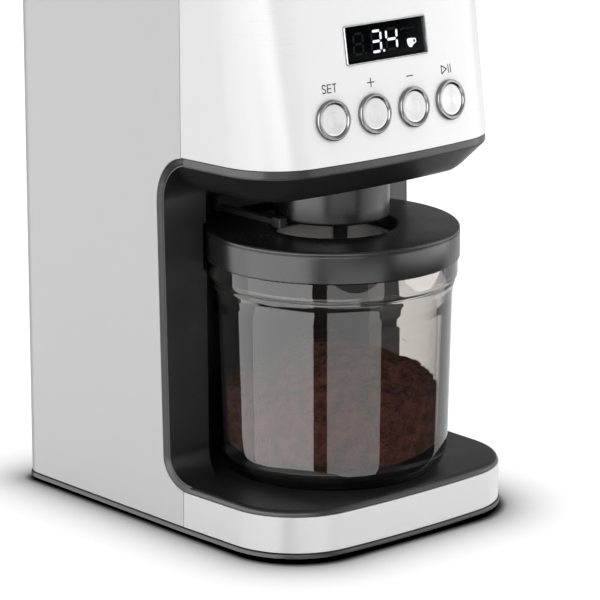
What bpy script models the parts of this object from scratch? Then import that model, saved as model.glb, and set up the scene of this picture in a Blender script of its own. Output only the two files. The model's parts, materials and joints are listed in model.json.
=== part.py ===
"""Conical burr coffee grinder with a catch jar, a leaning control head and a bean hopper.

Every size below is in millimetres. Plan positions (x to the right, y to the back) are measured from
the catch jar's axis, heights from the surface the grinder stands on. place() turns them into the
part's own frame: metres, +Z up, the origin under the middle of the grinder, -Y to the front.
"""

import math

import bmesh
import bpy
from mathutils import Matrix, Vector

MM = 0.001
GAP = 0.3  # between pieces that rest on or in each other

# overall body
HALF = 70.0
BODY_REAR = 126.0
REAR_CORNER = 12.0
SEAM = 14.1  # where the side shell meets the front cover and the base band
SHELL = 1.5
LIP = 0.5  # how far the base plate's lip stands out under the band

# heights
PLATE_BOTTOM = 0.8
LIP_TOP = 4.2
BAND_BOTTOM = 4.5
BAND_TOP = 19.7
TRAY_TOP = 22.3
CEILING = 146.1
RIM_TOP = 157.7
HEAD_BOTTOM = 161.3
DECK_BOTTOM = 277.0
DECK_TOP = 281.0

# plan outlines of the two front ends: nose y, how far the front bows, corner radius, toe-in angle
BASE_FRONT = {"nose": -51.9, "bow": 4.8, "corner": 33.2, "toe": 0.03}
HEAD_FRONT = {"nose": -40.2, "bow": 6.2, "corner": 28.0, "toe": 0.08}
LEAN = 0.167  # the head's face moves back this much for each unit of height

# the charcoal frame's opening, seen from the side: an upright with an elliptical sweep at each end
UPRIGHT_Y = 26.0
UPRIGHT_LEAN = 0.025
LOW_SWEEP = (16.0, 13.2)
HIGH_SWEEP = (17.5, 20.5)
FRAME_HALF = 68.2
FRAME_BACK = 62.0
WALL = 2.5

# the bay that the jar stands in
BAY_R = 53.2
RELIEF_R = 57.0
RELIEF_Z = (108.9, 128.5)

# catch jar and its lid
JAR_BOTTOM = 22.75
LID_R = 53.4
LID_Z = (113.0, 126.1)
LID_HOLE_R = 26.9
COLLAR_R = (25.2, 26.6)
JAR_Y = -(BODY_REAR + LIP - LID_R) / 2  # the jar's axis, from the middle of the overall depth

# underside: feet, screws and the cord's inlet at the back, as (x, z)
FEET_AT = [(-50, -28), (50, -28), (-50, 106), (50, 106)]
SCREWS_AT = [(-30, -34), (30, -34), (-30, 112), (30, 112)]
GLAND_AT = (45.0, 20.0)

# chute, fork and the switch that feels the jar, at (x, z)
NECK_R = 23.9
NECK_BOTTOM = 129.9
DUCT_HALF = 13.0
PLUNGER_AT = (22.0, 118.0)

# controls on the face
BUTTON_Z = 179.5
BUTTON_PITCH = 21.57
RING_R = 8.75
CAP_R = 6.45
DISPLAY_Z = 207.8
DISPLAY_HALF = (22.4, 8.0)
COVER = 2.2

# grinding works: everything turns about vertical axes
BURR_AXIS = (0.0, 50.0)
MOTOR_AXIS = (0.0, 88.0)
GEAR_MODULE = 1.2
PINION_TEETH = 10
WHEEL_TEETH = 40
SMALL_TEETH = 10
OUTPUT_TEETH = 30
PLATE_Z = (161.6, 164.6)
LOW_GEAR_Z = (166.0, 172.0)
HIGH_GEAR_Z = (173.0, 181.0)
HOUSING_Z = (183.0, 228.0)
SHAFT_R = 4.0

# hopper
THROAT_R = 29.7
HOPPER_RIM_Z = 345.0
HOPPER_RIM_R = 60.0

# finishes: colour, metallic, roughness
FINISHES = {
    "satin_silver": ((0.72, 0.72, 0.73), 0.6, 0.38),
    "white_steel": ((0.86, 0.86, 0.87), 0.6, 0.3),
    "bright_steel": ((0.82, 0.82, 0.83), 1.0, 0.22),
    "charcoal": ((0.035, 0.035, 0.037), 0.0, 0.38),
    "lid_black": ((0.04, 0.04, 0.042), 0.0, 0.3),
    "smoke": ((0.30, 0.27, 0.25), 0.0, 0.06),
    "collar_grey": ((0.25, 0.25, 0.26), 0.0, 0.4),
    "seal_clear": ((0.7, 0.7, 0.7), 0.0, 0.6),
    "coffee": ((0.055, 0.028, 0.018), 0.0, 0.95),
    "rubber": ((0.03, 0.03, 0.03), 0.0, 0.85),
    "chrome": ((0.6, 0.6, 0.62), 1.0, 0.15),
    "glass_black": ((0.01, 0.01, 0.012), 0.0, 0.08),
    "board_green": ((0.03, 0.16, 0.08), 0.0, 0.6),
    "steel": ((0.5, 0.5, 0.52), 1.0, 0.35),
    "brass": ((0.6, 0.44, 0.18), 1.0, 0.35),
    "nylon": ((0.75, 0.73, 0.68), 0.0, 0.5),
    "grey_plastic": ((0.16, 0.16, 0.17), 0.0, 0.5),
    "aluminium": ((0.66, 0.67, 0.69), 1.0, 0.4),
}


# ---------------------------------------------------------------- modelling helpers


def place(x, y, z):
    """A point in metres in the part's frame, from millimetres about the jar's axis."""
    return Vector((x, y + JAR_Y, z)) * MM


def finish(name):
    """The material of that name, made once."""
    if name in bpy.data.materials:
        return bpy.data.materials[name]
    colour, metallic, roughness = FINISHES[name]
    material = bpy.data.materials.new(name)
    material.use_nodes = True
    shader = material.node_tree.nodes["Principled BSDF"]
    shader.inputs["Base Color"].default_value = (*colour, 1)
    shader.inputs["Metallic"].default_value = metallic
    shader.inputs["Roughness"].default_value = roughness
    material.diffuse_color = (*colour, 1)
    return material


def solid(name, points, faces, look, origin=(0, 0, 0)):
    """A closed object from points in millimetres, with its origin on the given point."""
    start = place(*origin)
    mesh = bpy.data.meshes.new(name)
    mesh.from_pydata([place(*p) - start for p in points], [], faces)
    work = bmesh.new()
    work.from_mesh(mesh)
    bmesh.ops.recalc_face_normals(work, faces=work.faces)
    work.to_mesh(mesh)
    work.free()
    mesh.materials.append(finish(look))
    mesh.shade_smooth()
    mesh.set_sharp_from_angle(angle=math.radians(32))
    thing = bpy.data.objects.new(name, mesh)
    thing.location = start
    bpy.context.scene.collection.objects.link(thing)
    return thing


def loft(name, rings, look, origin=(0, 0, 0)):
    """A skin over rings of equal point counts, with a flat cap at each end."""
    count = len(rings[0])
    points = [p for ring in rings for p in ring]
    faces = [tuple(range(count)), tuple(range(len(points) - count, len(points)))]
    for level in range(len(rings) - 1):
        low = level * count
        for i in range(count):
            j = (i + 1) % count
            faces.append((low + i, low + j, low + count + j, low + count + i))
    return solid(name, points, faces, look, origin)


def prism(name, outline, z0, z1, look, origin=(0, 0, 0)):
    """A plan outline of (x, y) raised from z0 to z1."""
    rings = [[(x, y, z) for x, y in outline] for z in (z0, z1)]
    return loft(name, rings, look, origin)


def side_prism(name, profile, x0, x1, look):
    """A side profile of (y, z) extruded from x0 to x1."""
    rings = [[(x, y, z) for y, z in profile] for x in (x0, x1)]
    return loft(name, rings, look)


def block(name, low, high, look):
    """A box between two corners."""
    outline = [(low[0], low[1]), (high[0], low[1]), (high[0], high[1]), (low[0], high[1])]
    return prism(name, outline, low[2], high[2], look)


def turned_mesh(profile, segments):
    """Points and faces of a (radius, height) profile turned about the z axis.

    A profile that starts and ends on the axis gets a flat cap, or a cone's tip, at each end. Any
    other profile is a closed loop.
    """
    solid_core = profile[0][0] == 0
    rings = profile[1:-1] if solid_core else profile
    points = []
    for radius, height in rings:
        for k in range(segments):
            turn = math.tau * k / segments
            points.append((radius * math.cos(turn), radius * math.sin(turn), height))
    faces = []
    for i in range(len(rings) - 1 if solid_core else len(rings)):
        low, high = i * segments, (i + 1) % len(rings) * segments
        for k in range(segments):
            n = (k + 1) % segments
            faces.append((low + k, low + n, high + n, high + k))
    if solid_core:
        for tip, ring in ((profile[0], 0), (profile[-1], len(rings) - 1)):
            rim = list(range(ring * segments, (ring + 1) * segments))
            if tip[1] == rings[ring][1]:
                faces.append(tuple(rim))
                continue
            points.append((0, 0, tip[1]))
            for k in range(segments):
                faces.append((rim[k], rim[(k + 1) % segments], len(points) - 1))
    return points, faces


def turned(name, profile, look, axis=(0.0, 0.0), segments=24):
    """A (radius, height) profile turned about the vertical axis at plan point axis."""
    points, faces = turned_mesh(profile, segments)
    points = [(x + axis[0], y + axis[1], z) for x, y, z in points]
    return solid(name, points, faces, look, (axis[0], axis[1], 0))


def turned_in(name, profile, look, frame, segments=16):
    """A (radius, depth) profile turned about a local frame's z axis; the frame is in millimetres."""
    points, faces = turned_mesh(profile, segments)
    points = [tuple(frame @ Vector(p)) for p in points]
    return solid(name, points, faces, look, tuple(frame.translation))


def prism_in(name, outline, d0, d1, look, frame):
    """An (x, y) outline extruded from d0 to d1 along a local frame's z axis."""
    rings = [[tuple(frame @ Vector((x, y, d))) for x, y in outline] for d in (d0, d1)]
    return loft(name, rings, look, tuple(frame.translation))


def combine(target, tool, operation):
    """Adds tool to, or cuts it from, target, and leaves the tool as a hidden guide."""
    tool.hide_render = True
    tool.display_type = "WIRE"
    step = target.modifiers.new(tool.name, "BOOLEAN")
    step.operation = operation
    step.solver = "EXACT"
    step.object = tool
    return target


def cut(target, *tools):
    for tool in tools:
        combine(target, tool, "DIFFERENCE")
    return target


def add(target, *tools):
    for tool in tools:
        combine(target, tool, "UNION")
    return target


# ---------------------------------------------------------------- outlines


def rod_profile(radius, low, high):
    return [(0, low), (radius, low), (radius, high), (0, high)]


def tube_profile(inner, outer, low, high):
    return [(inner, low), (outer, low), (outer, high), (inner, high)]


def arc(cx, cy, radius, start, end, steps):
    """Points on an arc, angles in radians."""
    spread = [start + (end - start) * k / steps for k in range(steps + 1)]
    return [(cx + radius * math.cos(a), cy + radius * math.sin(a)) for a in spread]


def ellipse(cx, cy, rx, ry, start, end, steps):
    spread = [start + (end - start) * k / steps for k in range(steps + 1)]
    return [(cx + rx * math.cos(a), cy + ry * math.sin(a)) for a in spread]


def rounded_rectangle(half_x, half_y, radius, steps=3):
    points = []
    for quarter, (sx, sy) in enumerate(((1, 1), (-1, 1), (-1, -1), (1, -1))):
        start = quarter * math.pi / 2
        centre = (sx * (half_x - radius), sy * (half_y - radius))
        points += arc(*centre, radius, start, start + math.pi / 2, steps)
    return points


def front_outline(front, inset=0.0, start=SEAM):
    """The plan line of a front end, from the left seam round the nose to the right seam.

    The side runs forward with a slight toe-in, a corner arc follows, tangent to the side and to the
    wide arc of the bowed nose. inset moves the whole line inwards.
    """
    wide = (HALF**2 + front["bow"] ** 2) / (2 * front["bow"])
    centre = Vector((0, front["nose"] + wide))
    wide -= inset
    radius = front["corner"] - inset
    toe = front["toe"]
    ahead = Vector((math.sin(toe), -math.cos(toe)))
    inward = Vector((math.cos(toe), math.sin(toe)))
    begin = Vector((-HALF + inset, start))
    reach = begin + inward * radius - centre
    along = reach.dot(ahead)
    run = -along + math.sqrt(along**2 - reach.dot(reach) + (wide - radius) ** 2)
    corner = begin + inward * radius + ahead * run
    from_angle = math.atan2(-inward.y, -inward.x) % math.tau
    towards = corner - centre
    to_angle = math.atan2(towards.y, towards.x) % math.tau
    left = [tuple(begin)]
    left += arc(*corner, radius, from_angle, to_angle, 6)
    left += arc(*centre, wide, to_angle, 1.5 * math.pi, 3)[1:]
    return left + [(-x, y) for x, y in reversed(left[:-1])]


def rear_outline(inset=0.0):
    """The plan line of the body's back, from the right seam round to the left seam."""
    radius = REAR_CORNER - inset
    side, back = HALF - inset - radius, BODY_REAR - inset - radius
    right = arc(side, back, radius, 0, math.pi / 2, 4)
    return right + [(-x, y) for x, y in reversed(right)]


def body_outline(front, inset=0.0):
    return front_outline(front, inset) + rear_outline(inset)


def leaned(x, y, z):
    """Moves a point of the head back with its height; the seam stays upright."""
    depth = SEAM - HEAD_FRONT["nose"]
    share = 1 - LEAN * (z - HEAD_BOTTOM) / depth
    return (x, SEAM + (y - SEAM) * share if y < SEAM else y, z)


def opening_line(inset, steps=6):
    """The frame's opening as (y, z): its outer edge for inset 0, the inner edge of its rim for 1."""
    rim_y = 2.0 * inset
    rim_low = (TRAY_TOP - BAND_TOP) * inset
    rim_high = (HEAD_BOTTOM - RIM_TOP) * inset
    low_z = BAND_TOP + LOW_SWEEP[1]
    high_z = HEAD_BOTTOM - HIGH_SWEEP[1]
    low_y = UPRIGHT_Y + UPRIGHT_LEAN * low_z - LOW_SWEEP[0]
    high_y = UPRIGHT_Y + UPRIGHT_LEAN * high_z - HIGH_SWEEP[0]
    low = ellipse(
        low_y, low_z, LOW_SWEEP[0] - rim_y, LOW_SWEEP[1] - rim_low, -math.pi / 2, 0, steps
    )
    high = ellipse(
        high_y, high_z, HIGH_SWEEP[0] - rim_y, HIGH_SWEEP[1] - rim_high, 0, math.pi / 2, steps
    )
    return low + high


def face_frame(x, z):
    """A frame on the head's face: z axis straight out, y axis up the face, in millimetres."""
    wide = (HALF**2 + HEAD_FRONT["bow"] ** 2) / (2 * HEAD_FRONT["bow"])
    bow = wide - math.sqrt(wide**2 - x**2)
    at = Vector(leaned(x, HEAD_FRONT["nose"] + bow, z))
    out = Vector((math.tan(math.asin(x / wide)), -1, LEAN)).normalized()
    across = Vector((0, 0, 1)).cross(out).normalized()
    up = out.cross(across)
    return Matrix.Translation(at) @ Matrix((across, up, out)).transposed().to_4x4()


def gear_outline(teeth, phase, axis):
    """A slim-toothed spur gear's plan, phase in tooth pitches."""
    pitch = math.tau / teeth
    root = GEAR_MODULE * (teeth - 2.5) / 2
    tip = GEAR_MODULE * (teeth + 1.7) / 2
    points = []
    for k in range(teeth):
        middle = (k + phase) * pitch
        for share, radius in ((-0.27, root), (-0.1, tip), (0.1, tip), (0.27, root)):
            turn = middle + share * pitch
            points.append((axis[0] + radius * math.cos(turn), axis[1] + radius * math.sin(turn)))
    return points


def idler_axis():
    """Where the idler's two meshes meet: wheel with motor pinion, small gear with output gear."""
    to_output = GEAR_MODULE * (SMALL_TEETH + OUTPUT_TEETH) / 2
    to_motor = GEAR_MODULE * (WHEEL_TEETH + PINION_TEETH) / 2
    apart = MOTOR_AXIS[1] - BURR_AXIS[1]
    along = (apart**2 + to_output**2 - to_motor**2) / (2 * apart)
    return (math.sqrt(to_output**2 - along**2), BURR_AXIS[1] + along)


IDLER_AXIS = idler_axis()


# ---------------------------------------------------------------- casings


def side_shell():
    """One folded sheet: both sides and the back, cut out round the frame's opening."""
    start = SEAM + GAP / 2
    outer = [(HALF, start)] + rear_outline() + [(-HALF, start)]
    inner = [(HALF - SHELL, start)] + rear_outline(SHELL) + [(-HALF + SHELL, start)]
    shell = prism(
        "side_shell", outer + inner[::-1], BAND_BOTTOM, DECK_BOTTOM - GAP, "satin_silver"
    )
    edge = [(y + GAP, z) for y, z in opening_line(0)]
    profile = [(0, BAND_TOP)] + edge + [(0, HEAD_BOTTOM)]
    opening = side_prism("shell_opening", profile, -HALF - 5, HALF + 5, "charcoal")
    inlet = side_cylinder("shell_inlet", GLAND_AT, 8.0, BODY_REAR - 5, BODY_REAR + 5)
    return cut(shell, opening, inlet)


def side_cylinder(name, at, radius, y0, y1, segments=16):
    """A guide cylinder that runs front to back at plan x and height z."""
    rings = []
    for y in (y0, y1):
        rings.append([(x, y, z) for x, z in arc(*at, radius, 0, math.tau, segments)[:-1]])
    return loft(name, rings, "charcoal")


def cord_gland():
    """A flanged bush in the back: only the cord's inlet."""
    x, z = GLAND_AT
    profile = [(3.6, 0), (3.6, 8.2), (7.6, 8.2), (7.6, 4.6), (10, 4.6), (10, 1.5), (7.6, 0)]
    frame = Matrix.Translation((x, BODY_REAR - 8.3, z)) @ Matrix.Rotation(-math.pi / 2, 4, "X")
    return turned_in("cord_gland", profile, "rubber", frame, 16)


def head_front_cover():
    """The white front of the head, from seam to seam, bored for the buttons and the display."""
    front = front_outline(HEAD_FRONT, 0, SEAM - GAP / 2)
    back = front_outline(HEAD_FRONT, COVER, SEAM - GAP / 2)
    outline = front + back[::-1]
    heights = (HEAD_BOTTOM + GAP, DECK_BOTTOM - GAP)
    rings = [[leaned(x, y, z) for x, y in outline] for z in heights]
    cover = loft("head_front_cover", rings, "white_steel")
    for number, x in enumerate(button_places(), 1):
        hole = arc(0, 0, RING_R - 0.7, 0, math.tau, 20)[:-1]
        frame = face_frame(x, BUTTON_Z)
        cut(cover, prism_in(f"button_bore_{number}", hole, -COVER - 3, 4, "charcoal", frame))
    window = rounded_rectangle(DISPLAY_HALF[0] - 0.7, DISPLAY_HALF[1] - 0.7, 0.8)
    frame = face_frame(0, DISPLAY_Z)
    return cut(cover, prism_in("display_bore", window, -COVER - 3, 4, "charcoal", frame))


def c_frame():
    """The charcoal frame in one moulding: jar tray, column front with the jar's bay, head floor."""
    inner = opening_line(1)
    column = side_prism(
        "c_frame",
        inner + [(FRAME_BACK, HEAD_BOTTOM), (FRAME_BACK, BAND_TOP)] + [(inner[0][0], BAND_TOP)],
        -FRAME_HALF,
        FRAME_HALF,
        "charcoal",
    )
    insets = [(BAND_TOP + GAP, 0.3), (BAND_TOP + 1.1, 0.5), (TRAY_TOP - 0.6, 1.4), (TRAY_TOP, 2.8)]
    back = inner[0][0] + 0.6
    tray = loft(
        "frame_tray",
        [[(x, y, z) for x, y in front_outline(BASE_FRONT, d, back)] for z, d in insets],
        "charcoal",
    )
    add(column, tray)
    skirt = [(HEAD_BOTTOM, 0.3), (RIM_TOP, 2.0), (CEILING + 1.8, 10.4), (CEILING, 13.0)]
    nose = loft(
        "frame_nose",
        [[(x, y, z) for x, y in front_outline(HEAD_FRONT, d, inner[-1][0] + 0.6)] for z, d in skirt],
        "charcoal",
    )
    half = [(min(HALF - d, FRAME_HALF), z) for z, d in skirt]
    floor_profile = half + [(-x, z) for x, z in reversed(half)]
    floor = loft(
        "frame_floor",
        [[(x, y, z) for x, z in floor_profile] for y in (inner[-1][0], FRAME_BACK)],
        "charcoal",
    )
    add(column, nose, floor)
    for side, sign in (("left", -1), ("right", 1)):
        add(column, frame_rim(f"frame_rim_{side}", sign))
    cut(column, bay("frame_bay", 0.0), head_hollow(), column_hollow())
    hole = arc(0, 0, NECK_R + 0.5, 0, math.tau, 28)[:-1]
    cut(column, prism("frame_neck_hole", hole, CEILING - 4, CEILING + 8, "charcoal"))
    bore = side_cylinder("frame_switch_bore", PLUNGER_AT, 2.6, 44, 64)
    return cut(column, bore)


def frame_rim(name, sign):
    """The frame's rim on one side: a bevel from the body's side face to the frame's front."""
    rings = []
    for outer, inner in zip(opening_line(0), opening_line(1)):
        ring = [(HALF, outer), (HALF - 2, inner), (HALF - 5, inner), (HALF - 5, outer)]
        rings.append([(sign * x, y, z) for x, (y, z) in ring])
    return loft(name, rings, "charcoal")


def bay(name, wall):
    """The round space the jar stands in, stepped out at lid height, grown by a wall thickness."""
    low, high = RELIEF_Z
    if wall:
        bottom, top = BAND_TOP - 2, CEILING + 6
    else:
        bottom, top = TRAY_TOP + 0.15, CEILING + 0.15
    profile = [
        (0, bottom),
        (BAY_R + wall, bottom),
        (BAY_R + wall, low - wall),
        (RELIEF_R + wall, low - wall),
        (RELIEF_R + wall, high + wall),
        (BAY_R + wall, high + wall),
        (BAY_R + wall, top),
        (0, top),
    ]
    return turned(name, profile, "charcoal", segments=40)


def column_hollow():
    """The space inside the column, behind the bay's wall."""
    side = FRAME_HALF - WALL
    hollow = block("column_hollow", (-side, 30.2, BAND_TOP - 1), (side, 70, CEILING + 5), "charcoal")
    return cut(hollow, bay("bay_wall", WALL))


def head_hollow():
    """The space inside the head's floor."""
    levels = [(CEILING + WALL, 12.2), (RIM_TOP, 5.0), (HEAD_BOTTOM + 1, 4.4)]
    rings = []
    for z, inset in levels:
        line = front_outline(HEAD_FRONT, inset)
        rings.append([(x, y, z) for x, y in line + [(HALF - inset, 70), (-HALF + inset, 70)]])
    return loft("head_hollow", rings, "charcoal")


def base_band():
    """A bright steel strip round the front of the base."""
    start = SEAM - GAP / 2
    line = front_outline(BASE_FRONT, 0, start) + front_outline(BASE_FRONT, 1.2, start)[::-1]
    return prism("base_band", line, BAND_BOTTOM, BAND_TOP, "bright_steel")


def base_plate():
    """The dark underside: a lip under the band, a recessed step, pockets for feet and screws."""
    levels = [
        (PLATE_BOTTOM, 2.6),
        (1.7, 1.6),
        (1.9, -LIP),
        (LIP_TOP - 0.4, -LIP),
        (LIP_TOP, -0.1),
        (LIP_TOP, 3.2),
        (7.2, 3.2),
    ]
    rings = [[(x, y, z) for x, y in body_outline(BASE_FRONT, d)] for z, d in levels]
    plate = loft("base_plate", rings, "charcoal")
    for number, at in enumerate(SCREWS_AT, 1):
        boss = turned(f"boss_{number}", [(0, 6), (4.5, 6), (4.5, 19), (0, 19)], "charcoal", at, 10)
        bore = [(0, 0), (3.7, 0), (3.7, 3.6), (1.8, 3.6), (1.8, 20), (0, 20)]
        add(plate, boss)
        cut(plate, turned(f"boss_bore_{number}", bore, "charcoal", at, 10))
    for number, at in enumerate(FEET_AT, 1):
        pocket = [(0, 0), (8.4, 0), (8.4, 4.0), (0, 4.0)]
        cut(plate, turned(f"foot_pocket_{number}", pocket, "charcoal", at, 16))
    for row in range(5):
        y = 24 + 9 * row
        slot = block(f"vent_{row + 1}", (-22, y, 0), (22, y + 3, 9), "charcoal")
        cut(plate, slot)
    return plate


def feet_and_screws():
    for number, at in enumerate(FEET_AT, 1):
        profile = [(0, 0), (7.2, 0), (8, 0.8), (8, 3.6), (0, 3.6)]
        turned(f"foot_{number}", profile, "rubber", at, 16)
    for number, at in enumerate(SCREWS_AT, 1):
        profile = [(0, 1.9), (1.5, 1.3), (3.3, 1.3), (3.3, 3.3), (1.4, 3.3), (1.4, 18), (0, 18.6)]
        turned(f"base_screw_{number}", profile, "steel", at, 10)


def top_deck():
    """The dark top of the body with a raised collar round the hopper's throat."""
    levels = [(DECK_BOTTOM, 0), (DECK_TOP - 1.2, 0), (DECK_TOP, 1.4)]
    rings = []
    for z, inset in levels:
        outline = body_outline(HEAD_FRONT, inset)
        rings.append([leaned(x, y, min(z, DECK_BOTTOM))[:2] + (z,) for x, y in outline])
    deck = loft("top_deck", rings, "charcoal")
    collar = [(40, 279), (49, 279), (49, 284), (48, 285), (40, 285)]
    add(deck, turned("deck_collar", collar, "charcoal", BURR_AXIS, 32))
    throat = [(0, 270), (44, 270), (44, 290), (0, 290)]
    return cut(deck, turned("deck_throat", throat, "charcoal", BURR_AXIS, 32))


# ---------------------------------------------------------------- controls


def button_places():
    return [BUTTON_PITCH * (k - 1.5) for k in range(4)]


def buttons():
    """Four ringed push buttons, each on its own switch."""
    ring = [
        (CAP_R + 0.3, -3.4),
        (CAP_R + 0.3, 0.3),
        (CAP_R + 0.7, 1.0),
        (RING_R - 0.7, 1.0),
        (RING_R, 0.6),
        (RING_R, GAP),
        (RING_R - 1.1, GAP),
        (RING_R - 1.1, -3.4),
    ]
    cap = [(0, 0.9), (CAP_R - 1.6, 0.75), (CAP_R - 0.3, 0.45), (CAP_R, 0.1), (CAP_R, -2.4)]
    cap += [(2.4, -2.4), (2.4, -7.7), (0, -7.7)]
    body = rounded_rectangle(3, 3, 0.4, 1)
    for number, x in enumerate(button_places(), 1):
        frame = face_frame(x, BUTTON_Z)
        turned_in(f"button_ring_{number}", ring, "chrome", frame)
        turned_in(f"button_cap_{number}", cap, "white_steel", frame)
        prism_in(f"switch_{number}", body, -12.2, -9.0, "grey_plastic", frame)


def display():
    """The display: a bright bezel, a black window and the module behind it."""
    frame = face_frame(0, DISPLAY_Z)
    half_x, half_y = DISPLAY_HALF
    bezel = prism_in(
        "display_bezel", rounded_rectangle(half_x - 1, half_y - 1, 0.8), -2.4, 0.6, "chrome", frame
    )
    rim = prism_in(
        "bezel_rim", rounded_rectangle(half_x, half_y, 1.4), 0.25, 0.75, "chrome", frame
    )
    opening = rounded_rectangle(half_x - 1.9, half_y - 1.9, 0.5)
    add(bezel, rim)
    cut(bezel, prism_in("bezel_opening", opening, -5, 3, "chrome", frame))
    window = rounded_rectangle(half_x - 2.2, half_y - 2.2, 0.4)
    prism_in("display_window", window, -1.6, 0.45, "glass_black", frame)
    module = rounded_rectangle(half_x - 3, half_y - 2.4, 0.4, 1)
    prism_in("display_module", module, -12.6, -2.8, "grey_plastic", frame)


def control_board():
    """The board behind the face, with its chip."""
    frame = face_frame(0, 194)
    board = prism_in("control_board", rounded_rectangle(50, 27, 2, 2), -16, -14.4, "board_green", frame)
    chip = prism_in("board_chip", rounded_rectangle(7, 7, 0.5, 1), -18, -15.5, "board_green", frame)
    return add(board, chip)


# ---------------------------------------------------------------- chute, fork and jar switch


def chute():
    """The round neck over the jar and the duct that feeds it from the burrs."""
    neck = [
        (NECK_R - 3, NECK_BOTTOM + 0.3),
        (NECK_R - 1.2, NECK_BOTTOM),
        (NECK_R - 0.3, NECK_BOTTOM + 0.4),
        (NECK_R, NECK_BOTTOM + 1.4),
        (NECK_R, CEILING + WALL + GAP),
        (NECK_R + 2.8, CEILING + WALL + GAP),
        (NECK_R + 2.8, CEILING + WALL + 2.5),
        (NECK_R - 3, CEILING + WALL + 2.5),
    ]
    turned("chute_neck", neck, "lid_black", segments=28)
    low = CEILING + WALL + 2.8
    outer = [(-13, low), (13, low), (13, 172), (16.4, 186), (16.4, 208), (-3, 208), (-13, 196)]
    inner = [(-11, low - 2), (11, low - 2), (11, 172.5), (14, 188), (19, 190), (19, 205)]
    inner += [(-2, 205), (-11, 195)]
    duct = side_prism("chute_duct", outer, -DUCT_HALF, DUCT_HALF, "grey_plastic")
    inside = DUCT_HALF - 2.2
    return cut(duct, side_prism("duct_passage", inner, -inside, inside, "grey_plastic"))


def cradle_fork():
    """A fork that runs forward beside the neck, with a pad at each tip."""
    z0, z1 = 130.2, 132.8
    fork = block("cradle_fork", (-28, 40.8, 129.2), (28, 43.4, 134.6), "charcoal")
    for side, sign in (("left", -1), ("right", 1)):
        low, high = sorted((sign * 25.1, sign * 27.9))
        bar = block(f"fork_bar_{side}", (low, 4, z0), (high, 42, z1), "charcoal")
        low, high = sorted((sign * 24.7, sign * 30.2))
        pad = block(f"fork_pad_{side}", (low, 1, z0 - 1), (high, 7, z1 + 1.6), "charcoal")
        add(fork, bar, pad)
    return fork


def jar_switch():
    """A plunger that the jar's lid pushes back, and the switch behind it."""
    x, z = PLUNGER_AT
    profile = [(0, 0), (1.6, 0), (2.2, 0.8), (2.2, 7.6), (3.6, 7.6), (3.6, 8.6), (2.2, 8.6)]
    profile += [(2.2, 10), (0, 10)]
    frame = Matrix.Translation((x, 50.1, z)) @ Matrix.Rotation(-math.pi / 2, 4, "X")
    turned_in("jar_switch_plunger", profile, "nylon", frame, 16)
    block("jar_switch", (x - 5, 62.4, z - 8), (x + 5, 68, z + 8), "grey_plastic")


# ---------------------------------------------------------------- catch jar


def jar():
    """The smoky jar, its grounds, its lid and the lid's collar."""
    z = JAR_BOTTOM
    low = ellipse(43.5, z + 12, 5.6, 12, -math.pi / 2, 0, 5)
    shoulder = [(50.4, 92.0), (52.2, 101.5), (52.6, 105.0), (52.6, 112.6)]
    mouth = [(50.6, 112.6), (50.6, 121.5), (48.2, 121.5), (48.2, 104.0), (46.6, 92.0)]
    inside = ellipse(39.0, z + 15, 6.0, 9.5, 0, -math.pi / 2, 4)
    profile = [(0, z)] + low + shoulder + mouth + inside + [(0, z + 5.5)]
    turned("jar_body", profile, "smoke", segments=28)
    grounds = [(0, z + 5.9), (38.6, z + 5.9), (42.9, z + 8.6), (44.6, z + 15.5), (45.1, 58.0)]
    grounds += [(38, 63), (26, 69.5), (13, 74), (0, 75.5)]
    turned("coffee_grounds", grounds, "coffee", segments=32)
    bottom, top = LID_Z
    lid = [
        (LID_R - 2.2, bottom),
        (LID_R, bottom),
        (LID_R, top - 1),
        (LID_R - 0.3, top - 0.3),
        (LID_R - 1, top),
        (LID_HOLE_R, top),
        (LID_HOLE_R, top - 9.5),
        (LID_HOLE_R + 1.6, top - 9.5),
        (LID_HOLE_R + 1.6, top - 2.8),
        (LID_R - 2.2, top - 2.8),
    ]
    turned("jar_lid", lid, "lid_black", segments=36)
    inner, outer = COLLAR_R
    collar = tube_profile(inner, outer, top - 13, top - 0.6)
    turned("jar_lid_collar", collar, "collar_grey", segments=30)
    turned("jar_seal", tube_profile(48.4, 50.3, 121.8, top - 3.1), "seal_clear", segments=30)


# ---------------------------------------------------------------- grinding works


def star_ring(radius, depth, flutes, twist, z, axis):
    """A fluted ring of points for a burr, at height z."""
    ring = []
    for k in range(flutes):
        for share, cut_in in ((0.0, 0), (0.3, 0), (0.55, depth), (0.8, depth * 0.6)):
            turn = math.tau * (k + share) / flutes + twist
            reach = radius - cut_in
            ring.append((axis[0] + reach * math.cos(turn), axis[1] + reach * math.sin(turn), z))
    return ring


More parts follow.
